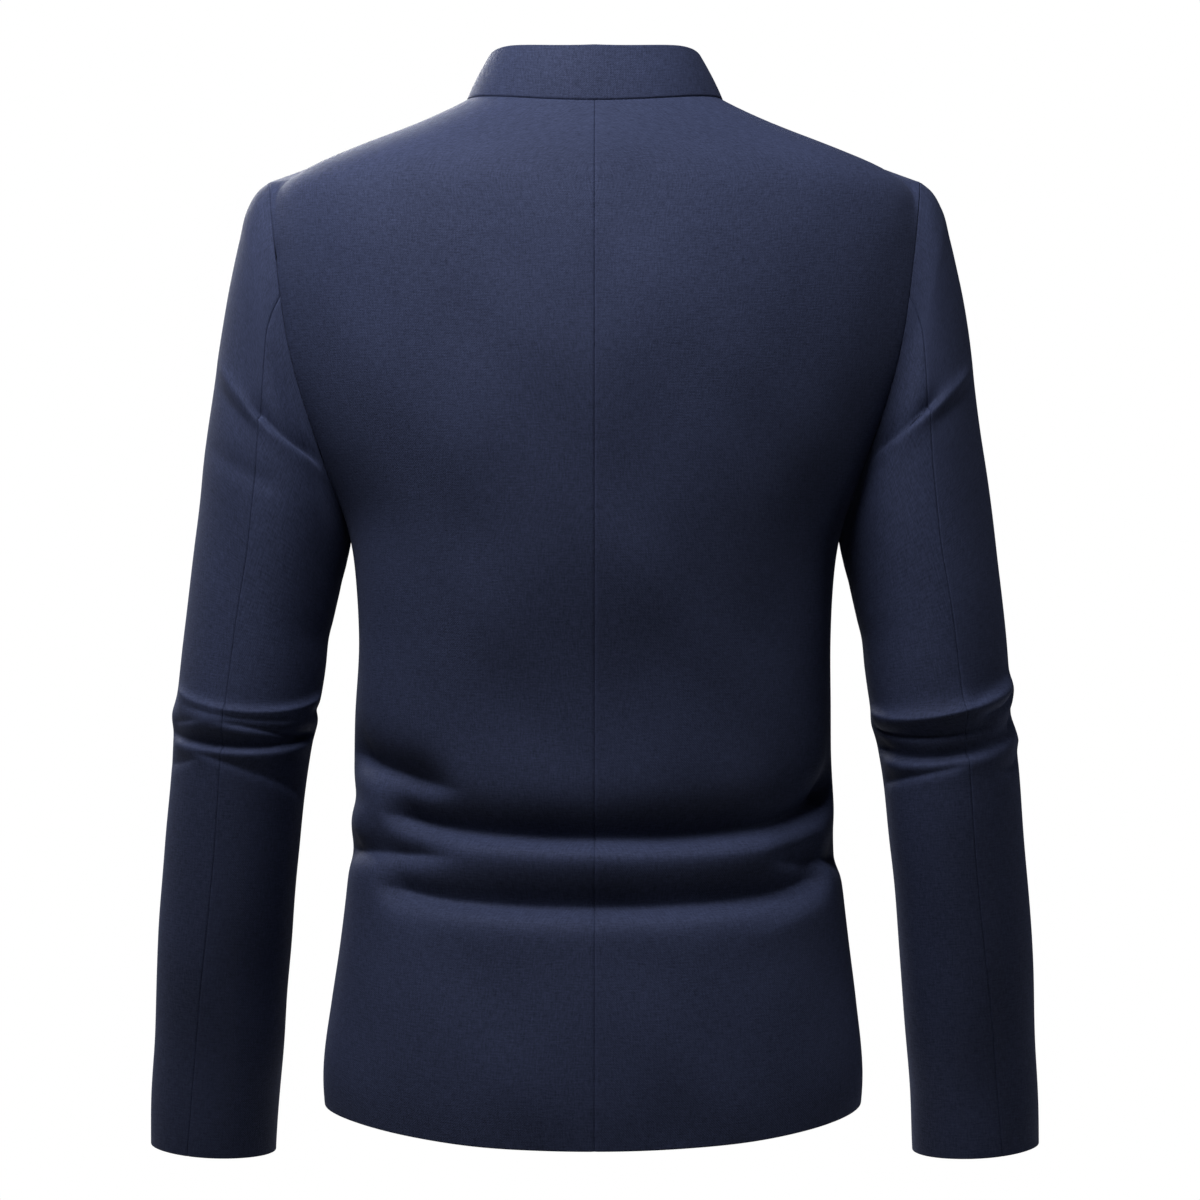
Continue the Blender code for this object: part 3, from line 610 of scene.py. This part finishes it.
def torso_wall(side, shares, sink=None, front_edge=None):
    """Outer and inner points of a panel of the torso, row by row from the hem."""
    facing = 1 if side == "back" else -1
    heights = torso_rows()
    row, share = np.meshgrid(row_of(heights), shares, indexing="ij")
    points, round_degrees = plain_torso(side, share, row)
    from_side = (1 - np.abs(share)) * PANEL_ARC
    from_neck = (1 - row) * UPPER_ARC
    points = eased_rows(points, heights, from_side)
    if side == "front":
        points = eased_columns(points, shares, row)

    def normals_of(points):
        return closed_at_edges(share, row, facing * grid_normals(points, heights, shares))

    lift = fold_height(TORSO_FOLDS, round_degrees, points[..., 2])
    lift = lift + slow_waves(points) * eased(np.minimum(from_side, from_neck) / WAVE_FADE)
    points = points + normals_of(points) * lift[..., None]
    normals = toward_edge(points, normals_of(points), share, row, facing, from_side)
    from_hem = heights[:, None] + 0 * share - HEM_SIDE_Z
    inner_lift = fold_round(from_hem)
    outer_sink = SIDE_SINK_SHARE * seam_sink(from_side) + NECK_SINK_SHARE * seam_sink(from_neck)
    outer_sink = outer_sink + inner_lift
    thick = hem_thickness(from_hem)
    if side == "back":
        outer_sink = outer_sink + seam_sink(np.abs(share) * PANEL_ARC)
        thick = np.where(from_side < SEAM_CLEAR, CLOTH, thick)
    if front_edge is not None:
        from_front = np.abs(points[..., 0] - front_edge)
        outer_sink = outer_sink + fold_round(from_front)
        inner_lift = inner_lift + fold_round(from_front)
    if sink is not None:
        outer_sink = outer_sink + sink(points[..., 0])
        thick = thick + sink(points[..., 0])
    outer = points - normals * outer_sink[..., None]
    inner = points - normals * (thick - inner_lift)[..., None]
    return outer, inner


def sleeve_middle(height):
    """The middle, the half axis to the outer point and the half depth of the sleeve's section."""
    outer, inner = smooth(SLEEVE, "outer_x", height), smooth(SLEEVE, "inner_x", height)
    tilt = smooth(SLEEVE, "tilt", height)
    centre = np.stack([(outer + inner) / 2, smooth(SLEEVE, "centre_y", height), height], -1)
    axis = np.stack([(outer - inner) / 2, np.zeros_like(tilt), tilt], -1)
    return centre, axis, smooth(SLEEVE, "half_depth", height)


def armhole_shift(degrees):
    """What the torso's armhole adds to the plain oval of the sleeve's first section."""
    angle = np.abs((degrees + 180) % 360 - 180)
    over_back = (degrees % 360) < 180
    straight = (TIP_X + UNDERARM_X) / 2 + (TIP_X - UNDERARM_X) / 2 * np.cos(np.radians(angle))
    back_x, front_x = (smooth(ARMHOLE, side, angle, key="angle") for side in ("back", "front"))
    x = np.where(over_back, back_x, front_x)
    depth = np.where(over_back, ARMHOLE_DEPTH["back"], -ARMHOLE_DEPTH["front"])
    y = (depth - SLEEVE["half_depth"][-1]) * np.sin(np.radians(degrees))
    return np.stack([x - straight, y, np.zeros_like(x)], -1)


def plain_sleeve(degrees, height):
    """Points of the left sleeve without folds: 0 degrees is the outer point and 90 the back."""
    degrees, height = np.broadcast_arrays(np.asarray(degrees, float), np.asarray(height, float))
    height = np.clip(height, CUFF_HEIGHT, ARMHOLE_HEIGHT)
    centre, axis, half_depth = sleeve_middle(height)
    turn = np.radians(degrees)
    across = np.stack([np.zeros_like(turn), half_depth * np.sin(turn), np.zeros_like(turn)], -1)
    fade = 1 - eased((ARMHOLE_HEIGHT - height) / CAP_FADE)
    return centre + axis * np.cos(turn)[..., None] + across + armhole_shift(degrees) * fade[..., None]


def sleeve_surface(hand):
    """The outside of a sleeve with its folds, on the left side of the body for either hand."""

    def folded(degrees, height):
        height = np.clip(height, CUFF_HEIGHT, ARMHOLE_HEIGHT)
        points = plain_sleeve(degrees, height)
        normals = slopes_of(plain_sleeve, degrees, height)
        at = (degrees + 90) % 360 - 90
        back = eased(np.sin(np.radians(degrees)) * DRAG_RAMP + DRAG_START)
        lift = fold_height(ELBOW_FOLDS[hand], at, height)
        drag = fold_height(DRAG_FOLDS[hand], points[..., 0], points[..., 2])
        off_seam = eased((ARMHOLE_HEIGHT - height) / CAP_EASE)
        waves = slow_waves(points * (hand, 1, 1)) * SLEEVE_WAVE_SHARE * off_seam
        return points + normals * (lift + drag * back * off_seam + waves)[..., None]

    return folded


def sleeve_rows():
    """Heights of the sleeve's rings from the cuff up, close together where the cloth folds."""
    fine = np.linspace(CUFF_HEIGHT, ARMHOLE_HEIGHT, num=3000)
    outer = plain_sleeve(0.0, fine)
    length = np.concatenate([[0], np.cumsum(np.linalg.norm(np.diff(outer, axis=0), axis=1))])
    zones = [(*np.interp([low, high], fine, length), step) for low, high, step in SLEEVE_FINE_ROWS]
    last = length[-1] - EDGE_STEPS[-1]
    inner = spaced(EDGE_STEPS[-1], last, SLEEVE_ROW_STEP, zones)
    cuff, cap = np.array(EDGE_STEPS[:-1]), length[-1] - np.array(EDGE_STEPS[-2::-1])
    return np.interp(np.concatenate([cuff, inner, cap]), length, fine)


def sleeve_wall(hand, starts, ends, span):
    """Outer and inner points of one piece of a sleeve, between its two seams, from the cuff up."""
    surface = sleeve_surface(hand)
    arc = math.radians(span[1] - span[0]) * SLEEVE_RADIUS
    shares = with_edges(0, arc, step=2.4) / arc
    height, share = np.meshgrid(sleeve_rows(), shares, indexing="ij")
    degrees = starts(height) + (ends(height) - starts(height)) * share
    points = surface(degrees, height)
    normals = slopes_of(surface, degrees, height)
    from_armhole = (ARMHOLE_HEIGHT - height) * CAP_STRETCH
    weight = eased(1 - from_armhole / ARMHOLE_BLEND)
    normals = toward(normals, armhole_normal(degrees), weight)
    from_seam = np.minimum(share, 1 - share) * arc
    from_cuff = np.linalg.norm(plain_sleeve(0.0, height) - plain_sleeve(0.0, CUFF_HEIGHT), axis=-1)
    outer_sink = seam_sink(from_seam) + seam_sink(from_armhole) + fold_round(from_cuff)
    thick = np.where(from_seam > SEAM_CLEAR, hem_thickness(from_cuff), CLOTH)
    outer = points - normals * outer_sink[..., None]
    inner = points - normals * (thick - fold_round(from_cuff))[..., None]
    return outer * (hand, 1, 1), inner * (hand, 1, 1)


def collar_foot(angle):
    """The neckline that the collar stands on, by the angle round the neck from the centre back."""
    size, hand = np.abs(angle), np.sign(angle)
    back, ahead = neckline("back", np.minimum(size, math.pi / 2)), neckline("front", math.pi - size)
    x, y, z = (np.where(size <= math.pi / 2, b, f) for b, f in zip(back, ahead))
    return np.stack([x * hand, y, z], -1)


def collar_wall():
    """Outer and inner points of the collar, up from the neckline, left front end to right front end."""
    end_angle = math.asin(COLLAR_END_GAP / 2 / NECK_HALF_WIDTH)
    half_length = (math.pi - end_angle) * NECK_HALF_WIDTH
    angles = with_edges(-half_length, half_length, step=2.4) / NECK_HALF_WIDTH
    base = collar_foot(angles) + (0, 0, SEAM_GAP)
    small = 0.01
    along = (collar_foot(angles + small) - collar_foot(angles - small)) * (1, 1, 0)
    outward = unit(np.cross((0, 0, 1), along))
    size = np.degrees(np.abs(angles))
    rise, lean = smooth(COLLAR, "rise", size, "angle"), smooth(COLLAR, "lean", size, "angle")
    from_end = half_length - np.abs(angles) * NECK_HALF_WIDTH
    corner = np.clip(from_end / COLLAR_CORNER, 0, 1)
    rise = rise - COLLAR_CORNER * (1 - np.sqrt(1 - (1 - corner) ** 2))
    tall = float(COLLAR["rise"][0])
    ups = np.concatenate([[-COLLAR_TUCK / tall], with_edges(0, tall, step=1.8) / tall])
    outer, inner = [], []
    for up in ups:
        shift = -lean * up + COLLAR_BULGE * 4 * up * (1 - up)
        lift = np.stack([np.zeros_like(rise), np.zeros_like(rise), rise * up], -1)
        tucked = fold_round((1 - up) * tall) + fold_round(from_end)
        if up < 0:
            shift = shift - CLOTH - SEAM_GAP
        skin = base + outward * (shift - tucked - seam_sink(max(up, 0) * tall))[:, None] + lift
        lining = base + outward * (shift - COLLAR_CLOTH + tucked)[:, None] + lift
        outer.append(skin)
        inner.append(lining)
    return np.array(outer), np.array(inner)


def cloth_coordinates(outer):
    """Distances along the rows and the columns of a wall, in metres, for the weave."""
    across = np.linalg.norm(np.diff(outer, axis=1), axis=-1)
    up = np.linalg.norm(np.diff(outer, axis=0), axis=-1)
    u = np.concatenate([np.zeros((outer.shape[0], 1)), np.cumsum(across, axis=1)], axis=1)
    v = np.concatenate([np.zeros((1, outer.shape[1])), np.cumsum(up, axis=0)], axis=0)
    middle = outer.shape[1] // 2
    u = u - u[:, middle : middle + 1]
    v = np.broadcast_to(v[:, middle : middle + 1], u.shape)
    return np.stack([u, v], -1) * MM


def wall_faces(rows, columns):
    """Corners of the faces of a closed wall: its outside, its inside and its rim."""
    grid = np.arange(rows * columns).reshape(rows, columns)
    low, right = grid[:-1, :-1], grid[:-1, 1:]
    high, far = grid[1:, :-1], grid[1:, 1:]
    front = np.stack([low, right, far, high], -1).reshape(-1, 4)
    offset = rows * columns
    rim = np.array([*grid[0, :], *grid[1:, -1], *grid[-1, -2::-1], *grid[-2:0:-1, 0]])
    following = np.roll(rim, -1)
    sides = np.stack([following, rim, rim + offset, following + offset], -1)
    return np.concatenate([front, front[:, ::-1] + offset, sides])


def turn_outward(mesh):
    """Turns the faces of a closed mesh over where they face inward."""
    shape = bmesh.new()
    shape.from_mesh(mesh)
    if shape.calc_volume(signed=True) < 0:
        bmesh.ops.reverse_faces(shape, faces=shape.faces)
        shape.to_mesh(mesh)
    shape.free()


def add_object(name, data):
    """A new object of this data, in the scene."""
    added = bpy.data.objects.new(name, data)
    bpy.context.scene.collection.objects.link(added)
    return added


def finished_mesh(name, shape, material):
    """A mesh of one material from a shape that is done and is freed."""
    mesh = bpy.data.meshes.new(name)
    shape.to_mesh(mesh)
    shape.free()
    mesh.materials.append(material)
    return mesh


def add_wall(name, walls, material):
    """Makes one closed shell from the outer and inner points of a wall's rows."""
    outer, inner = walls
    faces = wall_faces(*outer.shape[:2])
    points = np.concatenate([outer.reshape(-1, 3), inner.reshape(-1, 3)]) * MM
    mesh = bpy.data.meshes.new(name)
    mesh.from_pydata(points.tolist(), [], faces.tolist())
    uv = cloth_coordinates(outer).reshape(-1, 2)
    uv = np.concatenate([uv, uv])
    layer = mesh.uv_layers.new(name="cloth")
    layer.data.foreach_set("uv", uv[faces.reshape(-1)].astype(np.float32).ravel())
    turn_outward(mesh)
    mesh.shade_smooth()
    mesh.materials.append(material)
    return add_object(name, mesh)


def new_material(name):
    """A material, its node tree and its shader."""
    material = bpy.data.materials.new(name)
    material.use_nodes = True
    return material, material.node_tree, material.node_tree.nodes["Principled BSDF"]


def set_inputs(node, **values):
    """Sets the node's own inputs, each by its name with _ for a space."""
    for name, value in values.items():
        node.inputs[name.replace("_", " ")].default_value = value


def math_node(tree, operation, first, second):
    """A sum or product of two values, each a number or another node's output."""
    node = tree.nodes.new("ShaderNodeMath")
    node.operation = operation
    for socket, value in zip(node.inputs, (first, second)):
        if isinstance(value, (int, float)):
            socket.default_value = value
        else:
            tree.links.new(value, socket)
    return node.outputs[0]


def noise_node(tree, vector, scale, stretch=(1, 1), detail=2.0):
    """Noise over the cloth's own coordinates, stretched along the threads."""
    mapping = tree.nodes.new("ShaderNodeMapping")
    set_inputs(mapping, Scale=(*stretch, 1))
    tree.links.new(vector, mapping.inputs["Vector"])
    noise = tree.nodes.new("ShaderNodeTexNoise")
    set_inputs(noise, Scale=scale, Detail=detail)
    tree.links.new(mapping.outputs["Vector"], noise.inputs["Vector"])
    return noise.outputs["Fac"]


def wave_node(tree, vector, **values):
    """Fine diagonal bands."""
    wave = tree.nodes.new("ShaderNodeTexWave")
    wave.bands_direction = "DIAGONAL"
    set_inputs(wave, **values)
    tree.links.new(vector, wave.inputs["Vector"])
    return wave.outputs["Fac"]


def add_colour(tree, shader, value, dark, light, dark_at=0.0, light_at=1.0):
    """Colours a surface between a dark and a light colour, by a value."""
    ramp = tree.nodes.new("ShaderNodeValToRGB")
    for element, place, colour in zip(ramp.color_ramp.elements, (dark_at, light_at), (dark, light)):
        element.position = place
        element.color = (*colour, 1)
    tree.links.new(value, ramp.inputs["Fac"])
    tree.links.new(ramp.outputs["Color"], shader.inputs["Base Color"])


def add_roughness(tree, shader, value, factor, plus):
    """Makes the roughness follow a value times a factor, plus a number."""
    product = math_node(tree, "MULTIPLY", value, factor)
    roughness = math_node(tree, "ADD", product, plus)
    tree.links.new(roughness, shader.inputs["Roughness"])


def add_bump(tree, shader, height, strength, distance):
    """A fine relief from a height, with its distance in metres."""
    bump = tree.nodes.new("ShaderNodeBump")
    set_inputs(bump, Strength=strength, Distance=distance)
    tree.links.new(height, bump.inputs["Height"])
    tree.links.new(bump.outputs["Normal"], shader.inputs["Normal"])


def suiting():
    """Navy wool suiting: a fine weave of crossing threads, uneven in tone, with a faint sheen."""
    material, tree, shader = new_material("navy_suiting")
    uv = tree.nodes.new("ShaderNodeUVMap")
    uv.uv_map = "cloth"
    place = uv.outputs["UV"]
    weft = noise_node(tree, place, 1.0, THREAD_SCALES)
    warp = noise_node(tree, place, 1.0, THREAD_SCALES[::-1])
    fleck = noise_node(tree, place, scale=800.0)
    cloud = noise_node(tree, place, scale=14.0, detail=3.0)
    twill = wave_node(tree, place, Scale=420.0, Distortion=1.5, Detail=1.0, Detail_Scale=0.8)
    threads = math_node(tree, "ADD", weft, warp)
    weave = math_node(tree, "ADD", threads, fleck)
    weave_tone = math_node(tree, "MULTIPLY", weave, WEAVE_TONE)
    clouds = math_node(tree, "MULTIPLY", cloud, CLOUD_TONE)
    tone = math_node(tree, "ADD", weave_tone, clouds)
    add_colour(tree, shader, tone, CLOTH_DARK, CLOTH_LIGHT, dark_at=0.41, light_at=0.74)
    ribs = math_node(tree, "MULTIPLY", twill, TWILL_HEIGHT)
    height = math_node(tree, "ADD", ribs, weave)
    add_bump(tree, shader, height, strength=0.35, distance=0.0003)
    add_roughness(tree, shader, weave, factor=-0.12, plus=0.90)
    set_inputs(shader, Specular_IOR_Level=0.07, Sheen_Weight=0.03, Sheen_Roughness=0.45)
    set_inputs(shader, Sheen_Tint=(0.55, 0.62, 1.0, 1))
    return material


def button_plastic():
    """Dark navy button plastic with faint swirls and a soft gloss."""
    material, tree, shader = new_material("navy_button_plastic")
    texture = tree.nodes.new("ShaderNodeTexNoise")
    set_inputs(texture, Scale=220.0, Detail=4.0, Distortion=1.6)
    place = tree.nodes.new("ShaderNodeTexCoord").outputs["Object"]
    tree.links.new(place, texture.inputs["Vector"])
    swirl = texture.outputs["Fac"]
    add_colour(tree, shader, swirl, (0.004, 0.005, 0.010), (0.020, 0.024, 0.045))
    add_bump(tree, shader, swirl, strength=0.15, distance=0.0002)
    add_roughness(tree, shader, swirl, factor=0.24, plus=0.16)
    set_inputs(shader, Coat_Weight=0.3, Coat_Roughness=0.15)
    return material


def sewing_thread():
    """Navy sewing thread with its twist."""
    material, tree, shader = new_material("navy_thread")
    place = tree.nodes.new("ShaderNodeTexCoord").outputs["Object"]
    twist = wave_node(tree, place, Scale=700.0)
    add_colour(tree, shader, twist, (0.008, 0.010, 0.022), (0.030, 0.036, 0.075))
    add_bump(tree, shader, twist, strength=0.6, distance=0.0001)
    add_roughness(tree, shader, twist, factor=-0.2, plus=0.7)
    return material


def under_lap(x):
    """How far the right front sinks where the left front lies on it."""
    covered = (x + STRAIGHT_HALF_WIDTH) / (STRAIGHT_HALF_WIDTH - LAP)
    return (CLOTH + SEAM_GAP + LAP_SLACK) * np.clip(covered, 0, 1)


def panel_shares(side):
    """Places of a panel's columns from the centre line to its outer edge."""
    if side == "back":
        return with_edges(0, PANEL_ARC, PANEL_STEP) / PANEL_ARC
    straight = np.linspace(0, STRAIGHT_SHARE, num=12)[:-1]
    start = STRAIGHT_SHARE * PANEL_ARC
    rest = with_edges(start, PANEL_ARC, PANEL_STEP)[len(EDGE_STEPS) - 1 :] / PANEL_ARC
    return np.concatenate([straight, [STRAIGHT_SHARE], rest])


def lap_shares():
    """The columns of the front that laps over, from its free edge to the centre line."""
    edge = np.array(EDGE_STEPS) * LAP_SHARE / LAP
    between = np.linspace(-LAP_SHARE + edge[-1], 0, num=8)[1:-1]
    return np.concatenate([-LAP_SHARE + edge, between])


def sleeve_seam(name):
    """The degrees of one of the sleeve's seams, as a function of the height."""
    return lambda height: smooth(SLEEVE, name, height)


def declare_cloth(node, piece):
    """Hangs a cloth piece from the root and hides the solid that it stands for."""
    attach(piece, "root")
    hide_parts(node)


def add_cloth():
    """Every cloth piece on its solid's place, by its node's name."""
    cloth = suiting()
    pieces = {}
    for hand, word in ((1, "left"), (-1, "right")):
        back = torso_wall("back", panel_shares("back") * hand)
        pieces[f"back_{word}"] = add_wall(f"cloth_back_{word}", back, cloth)
    left = np.concatenate([lap_shares(), panel_shares("front")])
    pieces["front_left"] = add_wall("cloth_front_left", torso_wall("front", left, None, -LAP), cloth)
    right = torso_wall("front", -left, under_lap, LAP)
    pieces["front_right"] = add_wall("cloth_front_right", right, cloth)
    back_seam, front_seam = sleeve_seam("back_seam"), sleeve_seam("front_seam")
    for hand, word in ((1, "left"), (-1, "right")):
        top = sleeve_wall(hand, lambda height: front_seam(height) - 360, back_seam, TOP_SLEEVE_SPAN)
        pieces[f"sleeve_{word}_top"] = add_wall(f"cloth_sleeve_{word}_top", top, cloth)
        under = sleeve_wall(hand, back_seam, front_seam, UNDER_SLEEVE_SPAN)
        pieces[f"sleeve_{word}_under"] = add_wall(f"cloth_sleeve_{word}_under", under, cloth)
    pieces["collar"] = add_wall("cloth_collar", collar_wall(), cloth)
    panels = ["back_left", "back_right", "front_left", "front_right"]
    for node in panels:
        declare_cloth(node, pieces[node])
    for word in ("left", "right"):
        for cut in ("top", "under"):
            node = f"sleeve_{word}_{cut}"
            declare_cloth(node, pieces[node])
    declare_cloth("collar", pieces["collar"])
    return pieces


def turned(name, section, material, sides):
    """A solid turned about its own Z from its half section, in points out and up in millimetres."""
    shape = bmesh.new()
    rings = []
    for out, up in section:
        ring = []
        for turn in [2 * math.pi * k / sides for k in range(sides)] if out > 0 else [0.0]:
            place = (out * math.cos(turn) * MM, out * math.sin(turn) * MM, up * MM)
            ring.append(shape.verts.new(place))
        rings.append(ring)
    for first, second in zip(rings, rings[1:]):
        for k in range(sides):
            corners = [first[k % len(first)], first[(k + 1) % len(first)]]
            corners += [second[(k + 1) % len(second)], second[k % len(second)]]
            shape.faces.new(list(dict.fromkeys(corners)))
    bmesh.ops.recalc_face_normals(shape, faces=shape.faces)
    mesh = finished_mesh(name, shape, material)
    mesh.shade_smooth()
    mesh.set_sharp_from_angle(angle=math.radians(40))
    return add_object(name, mesh)


def tube(shape, path, radius, sides=8, end_share=0.55):
    """Adds a closed tube with narrower ends along a path of points, all in metres."""
    path = [Vector(point) for point in path]
    rings = []
    for index, point in enumerate(path):
        ahead = path[min(index + 1, len(path) - 1)] - path[max(index - 1, 0)]
        spin = ahead.to_track_quat("Z", "Y")
        end = end_share if index in (0, len(path) - 1) else 1.0
        ring = []
        for k in range(sides):
            turn = 2 * math.pi * k / sides
            off = Vector((math.cos(turn), math.sin(turn), 0)) * radius * end
            ring.append(shape.verts.new(point + spin @ off))
        rings.append(ring)
    for first, second in zip(rings, rings[1:]):
        for k in range(sides):
            following = (k + 1) % sides
            shape.faces.new((first[k], first[following], second[following], second[k]))
    shape.faces.new(rings[0][::-1])
    shape.faces.new(rings[-1])


def sewn(name, paths, material, radius):
    """One piece of thread work from the paths of its stitches."""
    shape = bmesh.new()
    for path in paths:
        tube(shape, path, radius * MM)
    mesh = finished_mesh(name, shape, material)
    mesh.shade_smooth()
    return add_object(name, mesh)


def rounded(section, radius, steps=4, most=0.45):
    """A half section with its corners rounded, each by the most of an edge's length that it may take."""
    points = [np.array(point, float) for point in section]
    smooth_points = [points[0]]
    for before, corner, after in zip(points, points[1:], points[2:]):
        room = [most * np.linalg.norm(neighbour - corner) for neighbour in (before, after)]
        cut = min(radius, *room)
        start, end = corner + cut * unit(before - corner), corner + cut * unit(after - corner)
        for t in np.linspace(0, 1, steps + 1):
            smooth_points.append((1 - t) ** 2 * start + 2 * t * (1 - t) * corner + t * t * end)
    return [tuple(float(v) for v in point) for point in [*smooth_points, points[-1]]]


def button_frame(node):
    """The middle and the outward axis of a button's solid, from its own points."""
    points = np.array([vertex.co for vertex in node.data.vertices])
    middle = (points.min(0) + points.max(0)) / 2
    axis = np.linalg.svd(points - points.mean(0), full_matrices=False)[2][2]
    axis = axis * (-1 if axis[1] > 0 else 1)
    return Vector(middle), Vector(axis)


def bore(button, drill, place):
    """Cuts one hole through a button."""
    drill.location = place
    cut = button.modifiers.new("hole", "BOOLEAN")
    cut.operation = "DIFFERENCE"
    cut.solver = "EXACT"
    cut.object = drill
    bpy.context.view_layer.update()
    bored = button.evaluated_get(bpy.context.evaluated_depsgraph_get())
    bored_mesh = bpy.data.meshes.new_from_object(bored)
    button.modifiers.remove(cut)
    button.data = bored_mesh


def strand_path(x, rise, level, top=1.25, dip=2.3, low=-1.4):
    """A strand of thread over the dish of a button, with both ends down in the holes, in metres."""
    ys = np.linspace(-HOLE_OFF, HOLE_OFF, num=9) * MM
    lift = rise * np.clip(top - (ys / (HOLE_OFF * MM)) ** 4 * dip, low, 1)
    return [(x, y, level + z) for y, z in zip(ys, lift)]


def add_button(number, node, plastic, thread):
    """A turned button with four holes, and the thread that crosses its dish."""
    middle, axis = button_frame(node)
    half = BUTTON_THICK / 2
    section = [(out, up - half) for out, up in rounded(BUTTON_DISH + BUTTON_RIM, radius=0.5)]
    button = turned(f"button_{number}_turned", section, plastic, sides=56)
    bit = [(0, -DRILL_REACH), (HOLE_RADIUS, -DRILL_REACH), (HOLE_RADIUS, DRILL_REACH), (0, DRILL_REACH)]
    drill = turned("drill", bit, plastic, sides=20)
    for place in [(x * HOLE_OFF * MM, y * HOLE_OFF * MM, 0) for x in (-1, 1) for y in (-1, 1)]:
        bore(button, drill, place)
    bpy.data.objects.remove(drill)
    level = (BUTTON_THICK * THREAD_LEVEL - half) * MM
    paths = []
    for side in (-1, 1):
        for off, share in STRANDS:
            paths.append(strand_path((side * HOLE_OFF + off) * MM, THREAD_RISE * MM * share, level))
    stitches = sewn(f"button_{number}_thread", paths, thread, radius=0.24)
    for piece in (button, stitches):
        piece.rotation_mode = "QUATERNION"
        piece.rotation_quaternion = axis.to_track_quat("Z", "Y")
        piece.location = middle
        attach(piece, "root")
    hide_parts(f"button_{number}")


def stitch_path(tree, middle_z, places):
    """A stitch over the cloth of the front, through places in x and in z from the button's middle."""
    path = []
    for (x, z), lift in zip(places, STITCH_LIFTS):
        start = Vector((x * MM, -1, middle_z + z * MM))
        spot, normal, _, _ = tree.ray_cast(start, Vector((0, 1, 0)))
        path.append(spot + normal * lift * MM)
    return path


def add_buttonhole(number, middle, cloth, thread):
    """A stitched buttonhole in the left front, which runs from under the button away from the edge."""
    tree = BVHTree.FromObject(cloth, bpy.context.evaluated_depsgraph_get())
    paths = []
    for x in np.arange(HOLE_START, HOLE_END, STITCH_PITCH):
        for side in (-1, 1):
            reach = STITCH_LENGTH * (1.0 if int(round(x / STITCH_PITCH)) % 2 else SHORT_STITCH)
            off = [*STITCH_ROOTS, reach * STITCH_BEND, reach]
            paths.append(stitch_path(tree, middle[2], [(x, side * z) for z in off]))
    ends = [*FAN_ROOTS, STITCH_LENGTH * STITCH_BEND, STITCH_LENGTH]
    for turn in np.radians(range(-80, 81, 20)):
        places = [(HOLE_END + out * math.cos(turn), out * math.sin(turn)) for out in ends]
        paths.append(stitch_path(tree, middle[2], places))
    hole = sewn(f"buttonhole_{number}", paths, thread, radius=0.22)
    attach(hole, "root")


def add_buttons(nodes, left_front):
    """The five buttons with their thread, and the buttonholes they pass through."""
    plastic, thread = button_plastic(), sewing_thread()
    for number in range(1, BUTTON_COUNT + 1):
        node = nodes[f"button_{number}"]
        add_button(number, node, plastic, thread)
        add_buttonhole(number, button_frame(node)[0], left_front, thread)


def add_camera():
    """The camera, level and square to the back."""
    data = bpy.data.cameras.new("camera")
    data.lens = LENS_MM
    data.sensor_width = 36.0
    camera = add_object("camera", data)
    camera.location = CAMERA_PLACE
    camera.rotation_euler = (math.radians(90), 0, math.radians(180))
    bpy.context.scene.camera = camera


def add_softbox(name, place, target, width, height, power):
    """A soft rectangular light that faces its target."""
    data = bpy.data.lights.new(name, "AREA")
    data.shape = "RECTANGLE"
    data.size, data.size_y = width, height
    data.energy = power
    light = add_object(name, data)
    light.location = place
    light.rotation_euler = (Vector(place) - Vector(target)).to_track_quat("Z", "Y").to_euler()


def add_floor():
    """A pale round floor, which glows but doesn't light the cloth from below."""
    shape = bmesh.new()
    bmesh.ops.create_circle(shape, cap_ends=True, radius=FLOOR_RADIUS, segments=96)
    material, _, shader = new_material("pale_floor")
    set_inputs(shader, Base_Color=(0.82, 0.82, 0.82, 1), Roughness=0.9)
    set_inputs(shader, Emission_Color=(1, 1, 1, 1), Emission_Strength=FLOOR_GLOW)
    floor = add_object("floor", finished_mesh("floor", shape, material))
    floor.location = (0, 0, FLOOR_Z)
    floor.visible_diffuse = False


def light_studio():
    """A white surround that the camera sees, a dimmer one that lights the cloth, and softboxes."""
    world = bpy.data.worlds.new("studio")
    bpy.context.scene.world = world
    world.use_nodes = True
    nodes, links = world.node_tree.nodes, world.node_tree.links
    surround = nodes["Background"]
    set_inputs(surround, Color=(1, 1, 1, 1), Strength=WORLD_GLOW)
    white = nodes.new("ShaderNodeBackground")
    set_inputs(white, Color=(1, 1, 1, 1))
    seen = nodes.new("ShaderNodeLightPath")
    mix = nodes.new("ShaderNodeMixShader")
    links.new(seen.outputs["Is Camera Ray"], mix.inputs["Fac"])
    links.new(surround.outputs["Background"], mix.inputs[1])
    links.new(white.outputs["Background"], mix.inputs[2])
    links.new(mix.outputs["Shader"], nodes["World Output"].inputs["Surface"])
    for softbox in SOFTBOXES:
        add_softbox(*softbox)


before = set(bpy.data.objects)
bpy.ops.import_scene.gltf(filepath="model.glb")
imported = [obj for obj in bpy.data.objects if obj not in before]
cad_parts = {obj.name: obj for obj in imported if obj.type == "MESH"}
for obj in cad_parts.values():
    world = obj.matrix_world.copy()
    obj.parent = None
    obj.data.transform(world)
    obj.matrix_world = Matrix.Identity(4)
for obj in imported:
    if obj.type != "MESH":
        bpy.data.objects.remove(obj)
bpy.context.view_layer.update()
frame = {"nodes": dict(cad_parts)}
bpy.context.scene.view_settings.view_transform = "Standard"
add_camera()
cloth_pieces = add_cloth()
add_buttons(frame["nodes"], cloth_pieces["front_left"])
add_floor()
light_studio()
